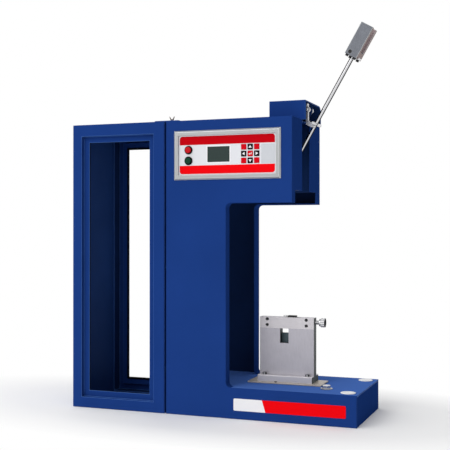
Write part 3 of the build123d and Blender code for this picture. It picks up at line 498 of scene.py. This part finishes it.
def metal_finishes(metals):
    """Colour, scale of the lines, roughness, shade, metallic, relief and painted rim shade of each bare
    metal.
    """
    bright = tuple(metals.bright_steel)
    return {
        "vise_face": (tuple(metals.vise_steel), (700.0, 700.0, 45.0), 0.48, 0.88, 0.5),
        "vise_bar": ((0.66, 0.635, 0.665), (45.0, 900.0, 900.0), 0.40, 0.88, 0.6),
        "painted_side_shade": ((0.022, 0.036, 0.036), (700.0, 700.0, 700.0), 0.5, 0.5, 0.3),
        "shaded_steel": ((0.085, 0.125, 0.145), (700.0, 700.0, 60.0), 0.5, 0.6, 0.5),
        "foot_steel": ((0.52, 0.47, 0.42), (50.0, 500.0, 500.0), 0.45, 0.7, 0.6),
        "hammer_alloy": (tuple(metals.hammer_alloy), (40.0, 40.0, 40.0), 0.42, 0.9, 0.6, 0.00001),
        "hammer_side": ((0.24, 0.165, 0.155), (40.0, 40.0, 40.0), 0.45, 0.85, 0.5, 0.00001),
        "hammer_slot_lit": ((0.36, 0.28, 0.29), (40.0, 40.0, 40.0), 0.5, 0.85, 0.3, 0.00001),
        "chrome": (tuple(metals.chrome), (80.0, 80.0, 900.0), 0.12, 0.9, 1.0, 0.00001, 0.03),
        "bright_steel": (bright, (900.0, 900.0, 900.0), 0.22, 0.8, 1.0, 0.00002),
        "zinc_steel": (toned(bright, 0.7), (500.0, 500.0, 500.0), 0.34, 0.7),
        "bright_alloy": ((0.74, 0.74, 0.76), (600.0, 600.0, 600.0), 0.3, 0.85, 0.7),
        "tinted_steel": ((0.16, 0.125, 0.11), (500.0, 500.0, 500.0), 0.3, 0.6, 0.8),
        "painted_shade_steel": ((0.030, 0.032, 0.036), (500.0, 500.0, 500.0), 0.35, 0.6, 0.6),
        "satin_alloy": ((0.44, 0.455, 0.46), (30.0, 1100.0, 1100.0), 0.34, 0.88, 0.6),
        "black_steel": ((0.018, 0.018, 0.020), (700.0, 700.0, 700.0), 0.4, 0.6, 0.4),
    }


def finish_of(key):
    """The finished material of that name, made when it is first asked for."""
    name = key + "_finish"
    found = bpy.data.materials.get(name)
    if found:
        return found
    scene = bpy.context.scene
    if key == "display":
        return make_display_material(name, tuple(scene.tester_paint.display))
    coats = coat_finishes(scene.tester_paint)
    if key in coats:
        colour, shade, settings = coats[key]
        return coated(name, colour, shade, **settings)
    return metal(name, *metal_finishes(scene.tester_metal)[key])


def select_only(*things):
    """Leaves just these objects selected, the first of them active."""
    bpy.ops.object.select_all(action="DESELECT")
    for thing in things:
        thing.select_set(True)
    if things:
        bpy.context.view_layer.objects.active = things[0]


def apply_all(piece):
    """Applies each modifier of a piece in turn."""
    select_only(piece)
    for modifier in list(piece.modifiers):
        bpy.ops.object.modifier_apply(modifier=modifier.name)


def dress(node, key, edge, edge_highlight_key=None, angle=32.0):
    """A cleaned copy of a CAD piece with softened edges and its own finish, which stands for the node. An
    edge highlight finish, where given, paints the bevel faces as a painted highlight.
    """
    source = NODES[node]
    piece = bpy.data.objects.new(node + "_finish", source.data.copy())
    bpy.context.scene.collection.objects.link(piece)
    select_only(piece)
    bpy.ops.mesh.customdata_custom_splitnormals_clear()
    bpy.ops.object.mode_set(mode="EDIT")
    bpy.ops.mesh.select_all(action="SELECT")
    bpy.ops.mesh.remove_doubles(threshold=MERGE)
    bpy.ops.mesh.dissolve_limited(angle_limit=FLAT)
    bpy.ops.object.mode_set(mode="OBJECT")
    piece.data.materials.clear()
    piece.data.materials.append(finish_of(key))
    if edge_highlight_key:
        piece.data.materials.append(finish_of(edge_highlight_key))
    soft = piece.modifiers.new("soft edges", "BEVEL")
    soft.width = edge
    soft.segments = 2
    soft.limit_method = "ANGLE"
    soft.angle_limit = math.radians(angle)
    soft.use_clamp_overlap = True
    # The bevel faces take the edge highlight finish, a painted highlight.
    soft.material = 1 if edge_highlight_key else -1
    even = piece.modifiers.new("even shading", "WEIGHTED_NORMAL")
    even.keep_sharp = True
    bpy.ops.object.shade_smooth_by_angle(angle=math.radians(angle))
    apply_all(piece)
    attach(piece, source["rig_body"])
    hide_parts(node)
    return piece


def coat_faces(piece, key, wanted, over=0):
    """Gives another finish to the faces of one finish that a test picks."""
    piece.data.materials.append(finish_of(key))
    piece.active_material_index = len(piece.data.materials) - 1
    select_only(piece)
    bpy.ops.object.mode_set(mode="EDIT")
    bpy.ops.mesh.select_all(action="DESELECT")
    bpy.ops.object.mode_set(mode="OBJECT")
    for face in piece.data.polygons:
        face.select = face.material_index == over and wanted(face)
    bpy.ops.object.mode_set(mode="EDIT")
    bpy.ops.object.material_slot_assign()
    bpy.ops.object.mode_set(mode="OBJECT")


def rounded_outline(left, right, low, high, radii):
    """Outline of a rectangle whose corners are rounded, from the lower left one anticlockwise."""
    corners = ((left, low, 180), (right, low, 270), (right, high, 0), (left, high, 90))
    points = []
    for (x, z, start), radius in zip(corners, radii):
        if radius <= 0.0:
            points.append((x, z))
            continue
        centre_x = x + radius if x == left else x - radius
        centre_z = z + radius if z == low else z - radius
        for step in range(7):
            turn = math.radians(start + 15.0 * step)
            points.append((centre_x + radius * math.cos(turn), centre_z + radius * math.sin(turn)))
    return points


def shifted_outline(shape, place, turn=0.0):
    """Points of a small flat shape, turned and moved to the middle of what carries it."""
    cosine, sine = math.cos(turn), math.sin(turn)
    return [(place.x + a * cosine - b * sine, place.z + a * sine + b * cosine) for a, b in shape]


def print_film(name, outlines, front_y, thickness, key, body):
    """A flat printed or inlaid shape on an upright face. A second outline inside the first is a window."""
    curve = bpy.data.curves.new(name, "CURVE")
    curve.dimensions = "2D"
    curve.fill_mode = "BOTH"
    curve.extrude = thickness / 2
    for outline in outlines:
        spline = curve.splines.new("POLY")
        spline.points.add(len(outline) - 1)
        for point, (x, z) in zip(spline.points, outline):
            point.co = (x, z, 0, 1)
        spline.use_cyclic_u = True
    piece = bpy.data.objects.new(name, curve)
    bpy.context.scene.collection.objects.link(piece)
    select_only(piece)
    bpy.ops.object.convert(target="MESH")
    piece = bpy.context.view_layer.objects.active
    piece.name = name
    upright = Matrix.Rotation(math.radians(90.0), 4, "X")
    piece.data.transform(Matrix.Translation((0, front_y + thickness / 2, 0)) @ upright)
    bpy.ops.object.mode_set(mode="EDIT")
    bpy.ops.mesh.select_all(action="SELECT")
    bpy.ops.mesh.remove_doubles(threshold=FILM_MERGE)
    bpy.ops.mesh.normals_make_consistent(inside=False)
    bpy.ops.object.mode_set(mode="OBJECT")
    piece.data.materials.clear()
    piece.data.materials.append(finish_of(key))
    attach(piece, body)
    return piece


def inside_box(face, low, high):
    """True on the inner faces of the guard box's skin."""
    place, skin = face.center, 0.0025
    return low.x + skin < place.x < high.x - skin and low.z + skin < place.z < high.z - skin


def inside_frame(face):
    """True on a face inside the hollow C of the frame, and not on its outer skin."""
    place = face.center
    low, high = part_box("front_shell")
    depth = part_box("rear_shell")[1].y
    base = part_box("base_top_plate")[1].z
    if abs(place.y) > depth - 0.003 and face.normal.y * place.y > 0:
        return False
    if not low.x + SHEET < place.x or not SHEET < place.z < high.z - SHEET:
        return False
    if place.z < base - SHEET:
        return place.x < high.x - SHEET
    if place.z > HEAD_UNDERSIDE + SHEET:
        return place.x < high.x - SHEET - BASE_BEYOND_HEAD
    return place.x < low.x + COLUMN_WIDTH - SHEET


def in_column(face):
    """True below the head, inside the column and the base."""
    return inside_frame(face) and face.center.z < HEAD_UNDERSIDE - SHEET


def on_return(face, low, high):
    """True on the returns of a window frame, which line the box behind its face."""
    place = face.center
    to_side = min(place.x - low.x, high.x - place.x, place.z - low.z, high.z - place.z)
    return to_side < RETURN_WIDTH and abs(place.y) < high.y - RETURN_SETBACK


def lay_window_seal(node, at_rear):
    """A thin black strip on the inner side of the window's lip."""
    low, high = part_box(node)
    from_left, from_right, from_foot, from_top = WINDOW_EDGES
    left, right = low.x + from_left, high.x - from_right
    foot, top = low.z + from_foot, high.z - from_top
    outlines = [
        rounded_outline(left - out, right + out, foot - out, top + out, (corner,) * 4)
        for out, corner in ((SEAL_WIDTH, 0.003), (-SEAL_OVERLAP, 0.001))
    ]
    front = high.y - WINDOW_LIP - SEAL_THICKNESS if at_rear else low.y + WINDOW_LIP
    seal = print_film(
        node + "_seal", outlines, front, SEAL_THICKNESS, "black_rubber_and_shade", "frame"
    )
    rounding = seal.modifiers.new("soft lip", "BEVEL")
    rounding.width = 0.0009
    rounding.segments = 3
    rounding.limit_method = "ANGLE"
    bpy.ops.object.shade_smooth_by_angle(angle=math.radians(40.0))
    apply_all(seal)


class TESTER_OT_sheet_metal(bpy.types.Operator):
    """Finishes the folded and welded sheet metal of the frame and the guard box"""

    bl_idname = "tester.sheet_metal"
    bl_label = "Sheet Metal"

    def execute(self, context):
        edge = context.scene.tester_edges.sheet_edge
        # The bevelled edges of the sheet metal get a painted highlight.
        for node in ("front_shell", "rear_shell"):
            shell = dress(node, "blue_coat", edge, "blue_edge_highlight")
            # Painted shade inside the hollow frame, darkest inside the column and the base.
            coat_faces(shell, "inside_shade_coat", inside_frame)
            coat_faces(shell, "deep_shade_coat", in_column, over=2)
        for node in ("base_tray", "head_top_plate", "joining_plates"):
            dress(node, "blue_coat", edge, "blue_edge_highlight")
        # The base top gets a painted sheen.
        dress("base_top_plate", "top_coat_sheen", edge, "blue_edge_highlight")
        low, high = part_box("guard_skin")
        skin = dress("guard_skin", "blue_coat", edge, "blue_edge_highlight")
        # Painted shade on the inner faces of the guard box.
        coat_faces(skin, "box_shade_coat", lambda face: inside_box(face, low, high))
        for node in ("guard_front_frame", "guard_rear_frame"):
            window = dress(node, "blue_coat", edge, "blue_edge_highlight")
            # Painted shade on the returns of the window frames.
            coat_faces(window, "inside_shade_coat", lambda face: on_return(face, low, high))
        lay_window_seal("guard_front_frame", at_rear=False)
        lay_window_seal("guard_rear_frame", at_rear=True)
        return {"FINISHED"}


class TESTER_OT_fixings(bpy.types.Operator):
    """Finishes the plugs, bolts, washers and spacers"""

    bl_idname = "tester.fixings"
    bl_label = "Fixings"

    def execute(self, context):
        edge = context.scene.tester_edges.metal_edge
        dress("access_plugs", "white_plastic", 0.0003)
        bolts = dress("bolts", "bright_steel", edge)
        coat_faces(bolts, "tinted_steel", lambda face: face.center.z > HEAD_UNDERSIDE)
        spacers = dress("spacers", "zinc_steel", edge)
        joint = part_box("guard_skin")[1].x + JOINT_WIDTH
        # Painted shade on the spacers within the joint between the guard box and the column.
        coat_faces(spacers, "inside_shade_coat", lambda face: face.center.x < joint)
        dress("standoffs", "zinc_steel", edge)
        dress("housing_screws", "black_steel", edge)
        return {"FINISHED"}


class TESTER_OT_swing_bearing(bpy.types.Operator):
    """Finishes the plates, housings, rings and axle that carry the pendulum"""

    bl_idname = "tester.swing_bearing"
    bl_label = "Swing Bearing"

    def execute(self, context):
        edge = context.scene.tester_edges.metal_edge
        # The bearing plates inside the head take the inside painted shade coat.
        dress("bearing_plates", "inside_shade_coat", edge)
        dress("bearing_housings", "satin_alloy", edge)
        dress("bearing_outer_rings", "bright_steel", edge / 2)
        dress("bearing_inner_rings", "bright_steel", edge / 2)
        dress("pendulum_axle", "bright_steel", edge / 2)
        dress("encoder", "black_plastic", edge)
        return {"FINISHED"}


class TESTER_OT_pendulum(bpy.types.Operator):
    """Finishes the hub, rod, catch pin and hammer of the pendulum"""

    bl_idname = "tester.pendulum"
    bl_label = "Pendulum"

    def execute(self, context):
        edge = context.scene.tester_edges.metal_edge
        dress("pendulum_hub", "satin_alloy", edge)
        # The rod's chrome has a painted reflection, darker towards its edges.
        dress("pendulum_rod", "chrome", edge)
        dress("catch_pin", "bright_alloy", edge / 2)
        # The hammer's bevelled edges take a lighter alloy finish, a painted highlight.
        fork = dress("hammer_fork", "hammer_alloy", edge, "satin_alloy")
        outward = Vector((math.cos(HAMMER_LEAN), 0.0, -math.sin(HAMMER_LEAN)))
        coat_faces(fork, "hammer_side", lambda face: face.normal.dot(outward) > 0.9)
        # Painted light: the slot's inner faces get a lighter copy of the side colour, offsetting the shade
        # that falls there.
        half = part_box("hammer_fork")[1].y - CHEEK
        coat_faces(fork, "hammer_slot_lit", lambda face: abs(face.normal.y) > 0.9 and abs(face.center.y) < half)
        dress("striker", "bright_steel", edge / 2)
        dress("hammer_screws", "black_steel", edge)
        return {"FINISHED"}


def screws_of(source):
    """Middle, axis and half length of each screw in a group, found from the loose parts of its mesh."""
    mesh = source.data
    follow = list(range(len(mesh.vertices)))

    def root(index):
        while follow[index] != index:
            index = follow[index]
        return index

    for edge in mesh.edges:
        first, second = root(edge.vertices[0]), root(edge.vertices[1])
        follow[max(first, second)] = min(first, second)
    parts = {}
    for vertex in mesh.vertices:
        parts.setdefault(root(vertex.index), []).append(vertex.co)
    screws = []
    for points in parts.values():
        low = Vector([min(point[axis] for point in points) for axis in range(3)])
        high = Vector([max(point[axis] for point in points) for axis in range(3)])
        size = high - low
        axis = 1 if abs(size.x - size.z) < abs(size.x - size.y) else 2
        screws.append(((low + high) / 2, axis, size[axis] / 2))
    return screws


def on_socket(face, screws):
    """True on the socket of the nearest screw, and on the side of an upright screw's head, which get
    painted shade.
    """
    middle, axis, half = min(screws, key=lambda screw: (face.center - screw[0]).length)
    out = face.center - middle
    along = abs(out[axis])
    out[axis] = 0.0
    if axis == 2 and abs(face.normal.z) < 0.5:
        return True
    wall = out.length > 0.0003 and out.normalized().dot(face.normal) < -0.5
    floor = abs(face.normal[axis]) > 0.9 and along < half - 0.0008
    return wall or floor


class TESTER_OT_vise(bpy.types.Operator):
    """Finishes the specimen vise on the base"""

    bl_idname = "tester.vise"
    bl_label = "Specimen Vise"

    def execute(self, context):
        edge = context.scene.tester_edges.metal_edge
        placed = screws_of(NODES["vise_screws"])
        dress("vise_foot", "foot_steel", edge)
        block = dress("vise_clamp_block", "vise_bar", edge)
        plate = dress("vise_plate", "vise_face", edge)
        bars = dress("vise_bars", "vise_bar", edge)
        # Painted shade: the end faces of the vise block, plate and bars are painted dark.
        for piece in (block, plate, bars):
            coat_faces(piece, "painted_side_shade", lambda face: abs(face.normal.x) > 0.9)
        low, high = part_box("vise_plate")
        top, skin = high.z - NOTCH_TOP, low.y + PLATE_SKIN
        # Painted shade in the vise plate's notch, on its floor and on its deeper front faces.
        coat_faces(plate, "painted_shade_steel", lambda face: face.normal.z > 0.5 and face.center.z < top)
        coat_faces(plate, "shaded_steel", lambda face: face.normal.y < -0.9 and face.center.y > skin)
        screws = dress("vise_screws", "zinc_steel", edge / 2)
        # Painted shade in the screw sockets and on the sides of upright screw heads.
        coat_faces(screws, "painted_shade_steel", lambda face: on_socket(face, placed))
        dress("fixed_jaw", "bright_steel", edge)
        dress("moving_jaw", "black_steel", edge)
        dress("clamp_screw", "zinc_steel", edge)
        knob = dress("clamp_knob", "bright_steel", edge / 2)
        # Painted shade: the knob's end facing +X is painted black.
        coat_faces(knob, "black_rubber_and_shade", lambda face: face.normal.x > 0.5)
        return {"FINISHED"}


class TESTER_OT_panel(bpy.types.Operator):
    """Finishes the control panel and lays its printed bands, borders and display frame"""

    bl_idname = "tester.panel"
    bl_label = "Control Panel"

    def execute(self, context):
        edges = context.scene.tester_edges
        # The bezel's bevelled edges take a brighter alloy finish, a painted highlight.
        dress("panel_bezel", "satin_alloy", edges.metal_edge, "bright_alloy")
        dress("panel_plate", "print_white", 0.0001)
        dress("lcd_window", "display", 0.0002)
        dress("control_board", "board_green", 0.0003)
        low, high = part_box("panel_plate")
        left, right = low.x + BAND_EDGE, high.x - BAND_EDGE
        film = edges.print_thickness
        front = low.y - film

        def lay(name, outlines, key, face=front):
            """A film on the panel, or on another face."""
            print_film(name, outlines, face, film, key, "frame")

        foot, top = (high.z - inward for inward in TOP_BAND)
        corners = (0, 0, BAND_CORNER, BAND_CORNER)
        lay("band_top", [rounded_outline(left, right, foot, top, corners)], "print_dark_red")
        foot, top = (low.z + inward for inward in FOOT_BAND)
        corners = (BAND_CORNER, BAND_CORNER, 0, 0)
        lay("band_foot", [rounded_outline(left, right, foot, top, corners)], "print_red")
        lcd_low, lcd_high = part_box("lcd_window")

        def round_display(out, corner):
            """Outline at a distance outside the display's edge."""
            return rounded_outline(
                lcd_low.x - out, lcd_high.x + out, lcd_low.z - out, lcd_high.z + out, (corner,) * 4
            )

        edge_line = round_display(0.0, 0.0004)
        lay("display_rim", [round_display(DISPLAY_RIM, 0.001), edge_line], "print_pale")
        # Painted shade: a black band just inside the display's edge.
        mask = [round_display(0.0, 0.001), round_display(-DISPLAY_EDGE_SHADE, 0.0004)]
        lay("display_edge_shade", mask, "print_black", lcd_low.y - film)
        from_keys, from_foot, from_top = FIELD_GAPS
        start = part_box("key_right")[1].x + from_keys
        corners = (0, 0.001, 0.001, 0)
        field = rounded_outline(start, right, low.z + from_foot, high.z - from_top, corners)
        lay("side_field", [field], "print_grey")
        return {"FINISHED"}


class TESTER_OT_keys(bpy.types.Operator):
    """Finishes the nine keys and gives them plain arrows"""

    bl_idname = "tester.keys"
    bl_label = "Keys"

    def execute(self, context):
        edges = context.scene.tester_edges
        film = edges.print_thickness
        arrows = {"key_up": 90.0, "key_down": 270.0, "key_left": 180.0, "key_right": 0.0}
        for node in sorted(name for name in NODES if name.startswith("key_")):
            dress(node, "print_black" if node in arrows else "key_red", edges.plastic_edge / 2)
            if node in arrows:
                self.mark(node, node + "_arrow", ARROW, math.radians(arrows[node]), film)
        self.mark("key_enter", "enter_mark", ENTER_MARK, 0.0, film)
        return {"FINISHED"}

    def mark(self, node, name, shape, turn, film):
        """A thin pale mark on the front of a key, which moves with it."""
        low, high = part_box(node)
        outline = shifted_outline(shape, (low + high) / 2, turn)
        print_film(name, [outline], low.y - film, film, "print_pale", node)


class TESTER_OT_push_buttons(bpy.types.Operator):
    """Finishes the red and green push buttons and their rings"""

    bl_idname = "tester.push_buttons"
    bl_label = "Push Buttons"

    def execute(self, context):
        edge = context.scene.tester_edges.plastic_edge
        dress("button_housings", "print_black", edge)
        dress("red_button", "red_plastic", edge)
        dress("green_button", "green_plastic", edge)
        return {"FINISHED"}


class TESTER_OT_name_strip(bpy.types.Operator):
    """Finishes the two-part strip on the base, which is left bare"""

    bl_idname = "tester.name_strip"
    bl_label = "Name Strip"

    def execute(self, context):
        strip = dress("name_strip", "print_pale", 0.0001)
        coat_faces(strip, "print_red", lambda face: face.center.x > STRIP_JOINT)
        return {"FINISHED"}


def inside_hood(face, low, high):
    """True inside the release housing, where its outer skin and its round rear edge aren't."""
    place = face.center
    across, up = place.y - (high.y - HOOD_BEND), place.z - (high.z - HOOD_BEND)
    if across > 0 and up > 0 and math.hypot(across, up) > HOOD_BEND - 0.0015:
        return False
    within = low.y + SHEET < place.y < high.y - SHEET and place.z < high.z - SHEET
    return within and abs(face.normal.x) < 0.5


class TESTER_OT_release(bpy.types.Operator):
    """Finishes the release housing and the latch inside it"""

    bl_idname = "tester.release"
    bl_label = "Release Latch"

    def execute(self, context):
        edges = context.scene.tester_edges
        # The hood's bevelled edges get a painted highlight.
        hood = dress("release_housing", "blue_coat", edges.sheet_edge, "blue_edge_highlight")
        low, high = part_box("release_housing")
        # Painted shade on the faces inside the release housing and on the latch bracket.
        coat_faces(hood, "inside_shade_coat", lambda face: inside_hood(face, low, high))
        dress("latch_bracket", "inside_shade_coat", edges.metal_edge)
        dress("latch_pivot_pin", "bright_alloy", edges.metal_edge / 2)
        dress("latch_lever", "bright_alloy", edges.metal_edge)
        dress("solenoid_body", "black_steel", edges.metal_edge)
        dress("solenoid_plunger", "bright_steel", edges.metal_edge / 2)
        return {"FINISHED"}


class TESTER_OT_mains(bpy.types.Operator):
    """Finishes the mains inlet and its rocker switch at the back"""

    bl_idname = "tester.mains"
    bl_label = "Mains Inlet"

    def execute(self, context):
        edge = context.scene.tester_edges.plastic_edge
        dress("power_inlet", "black_plastic", edge)
        dress("switch_rocker", "red_plastic", edge)
        return {"FINISHED"}


def soft_light(name, place, size, power):
    """A broad lamp turned to the object."""
    lamp = bpy.data.lights.new(name, "AREA")
    lamp.shape = "RECTANGLE"
    lamp.size = size
    lamp.size_y = size
    lamp.energy = power
    holder = bpy.data.objects.new(name, lamp)
    holder.location = place
    holder.rotation_euler = (Vector(LIT_POINT) - Vector(place)).to_track_quat("-Z", "Y").to_euler()
    bpy.context.scene.collection.objects.link(holder)


def seen_rays(tree):
    """One for rays that the camera sees straight, in a reflection or through glass."""
    path = tree.nodes.new("ShaderNodeLightPath")
    either = calculate(tree, "MAXIMUM", path.outputs["Is Camera Ray"], path.outputs["Is Glossy Ray"])
    return calculate(tree, "MAXIMUM", either, path.outputs["Is Transmission Ray"])


def make_floor_material(colour):
    """Pale floor that keeps its shadow near the object and fades to white further out."""
    material, tree, shader, place = blank_material("stage_floor")
    reach = tree.nodes.new("ShaderNodeMapping")
    reach.vector_type = "TEXTURE"
    reach.inputs["Location"].default_value = (-0.15, 0.0, 0.0)
    reach.inputs["Scale"].default_value = (0.62, 0.27, 1.0)
    tree.links.new(place, reach.inputs["Vector"])
    distance = tree.nodes.new("ShaderNodeVectorMath")
    distance.operation = "LENGTH"
    tree.links.new(reach.outputs["Vector"], distance.inputs[0])
    fade = spread(tree, distance.outputs["Value"], 1.0, 1.65)
    shader.inputs["Base Color"].default_value = opaque(colour)
    shader.inputs["Roughness"].default_value = 0.9
    shader.inputs["Specular IOR Level"].default_value = 0.1
    white = tree.nodes.new("ShaderNodeEmission")
    white.inputs["Color"].default_value = (1, 1, 1, 1)
    weight = calculate(tree, "MULTIPLY", fade, seen_rays(tree))
    blend = tree.nodes.new("ShaderNodeMixShader")
    tree.links.new(weight, blend.inputs[0])
    tree.links.new(shader.outputs[0], blend.inputs[1])
    tree.links.new(white.outputs[0], blend.inputs[2])
    tree.links.new(blend.outputs[0], tree.nodes["Material Output"].inputs["Surface"])
    return material


def make_world(level):
    """Studio light, strongest from the front and from above, and white where the camera sees it."""
    world = bpy.data.worlds.new("studio")
    world.use_nodes = True
    tree = world.node_tree
    way = tree.nodes.new("ShaderNodeTexCoord").outputs["Generated"]
    lobes = []
    for direction, low, high, weak, strong in LIGHT_LOBES:
        facing = tree.nodes.new("ShaderNodeVectorMath")
        facing.operation = "DOT_PRODUCT"
        facing.inputs[1].default_value = direction
        tree.links.new(way, facing.inputs[0])
        lobes.append(spread(tree, facing.outputs["Value"], low, high, weak, strong))
    lift = calculate(tree, "ADD", calculate(tree, "ADD", lobes[0], lobes[1]), lobes[2])
    sky = tree.nodes["Background"]
    sky.inputs["Color"].default_value = (1, 1, 1, 1)
    tree.links.new(calculate(tree, "MULTIPLY", lift, level), sky.inputs["Strength"])
    white = tree.nodes.new("ShaderNodeBackground")
    white.inputs["Color"].default_value = (1, 1, 1, 1)
    white.inputs["Strength"].default_value = 1.0
    blend = tree.nodes.new("ShaderNodeMixShader")
    tree.links.new(seen_rays(tree), blend.inputs[0])
    tree.links.new(sky.outputs[0], blend.inputs[1])
    tree.links.new(white.outputs[0], blend.inputs[2])
    tree.links.new(blend.outputs[0], tree.nodes["World Output"].inputs["Surface"])
    bpy.context.scene.world = world


class TESTER_OT_stage(bpy.types.Operator):
    """Makes the floor, the soft studio light and the camera"""

    bl_idname = "tester.stage"
    bl_label = "Stage"

    def execute(self, context):
        stage = context.scene.tester_stage
        select_only()
        bpy.ops.mesh.primitive_plane_add(size=12.0, location=(0, 0, 0))
        floor = context.active_object
        floor.name = "stage_floor"
        floor.data.transform(Matrix.Translation((0, 0, -0.0002)))
        floor.data.materials.append(make_floor_material(tuple(stage.floor_colour)))
        make_world(stage.sky)
        soft_light("key", (-1.4, -3.0, 2.6), 1.8, stage.key_power)
        soft_light("fill", (2.6, -1.6, 1.4), 1.6, stage.fill_power)
        camera = bpy.data.objects.new("camera", bpy.data.cameras.new("camera"))
        camera.data.lens = stage.lens
        camera.data.sensor_width = 36.0
        camera.data.clip_start = 0.05
        camera.location = CAMERA_PLACE
        camera.rotation_euler = CAMERA_TURN
        context.scene.collection.objects.link(camera)
        context.scene.camera = camera
        context.scene.view_settings.view_transform = "Standard"
        return {"FINISHED"}


STEPS = (
    TESTER_OT_sheet_metal,
    TESTER_OT_fixings,
    TESTER_OT_swing_bearing,
    TESTER_OT_pendulum,
    TESTER_OT_vise,
    TESTER_OT_panel,
    TESTER_OT_keys,
    TESTER_OT_push_buttons,
    TESTER_OT_name_strip,
    TESTER_OT_release,
    TESTER_OT_mains,
    TESTER_OT_stage,
)


class TESTER_PT_sidebar(bpy.types.Panel):
    """Lists the steps and the settings"""

    bl_idname = "TESTER_PT_sidebar"
    bl_label = "Impact Tester"
    bl_space_type = "VIEW_3D"
    bl_region_type = "UI"
    bl_category = "Tester"

    def draw(self, context):
        for step in STEPS:
            self.layout.operator(step.bl_idname)
        for group in ("tester_paint", "tester_metal", "tester_edges", "tester_stage"):
            settings = getattr(context.scene, group)
            for name in settings.__annotations__:
                self.layout.prop(settings, name)


SETTINGS = (
    ("tester_paint", TesterPaint),
    ("tester_metal", TesterMetal),
    ("tester_edges", TesterEdges),
    ("tester_stage", TesterStage),
)


def register():
    """Registers the settings, steps and sidebar."""
    for name, group in SETTINGS:
        bpy.utils.register_class(group)
        setattr(bpy.types.Scene, name, bpy.props.PointerProperty(type=group))
    for step in STEPS:
        bpy.utils.register_class(step)
    bpy.utils.register_class(TESTER_PT_sidebar)


def unregister():
    """Takes them out again."""
    bpy.utils.unregister_class(TESTER_PT_sidebar)
    for step in reversed(STEPS):
        bpy.utils.unregister_class(step)
    for name, group in reversed(SETTINGS):
        delattr(bpy.types.Scene, name)
        bpy.utils.unregister_class(group)


def main():
    """Builds every finished piece."""
    register()
    make_coat_group()
    make_grain_group()
    make_dust_group()
    bpy.ops.tester.sheet_metal()
    bpy.ops.tester.fixings()
    bpy.ops.tester.swing_bearing()
    bpy.ops.tester.pendulum()
    bpy.ops.tester.vise()
    bpy.ops.tester.panel()
    bpy.ops.tester.keys()
    bpy.ops.tester.push_buttons()
    bpy.ops.tester.name_strip()
    bpy.ops.tester.release()
    bpy.ops.tester.mains()
    bpy.ops.tester.stage()


if __name__ == "__main__":
    main()
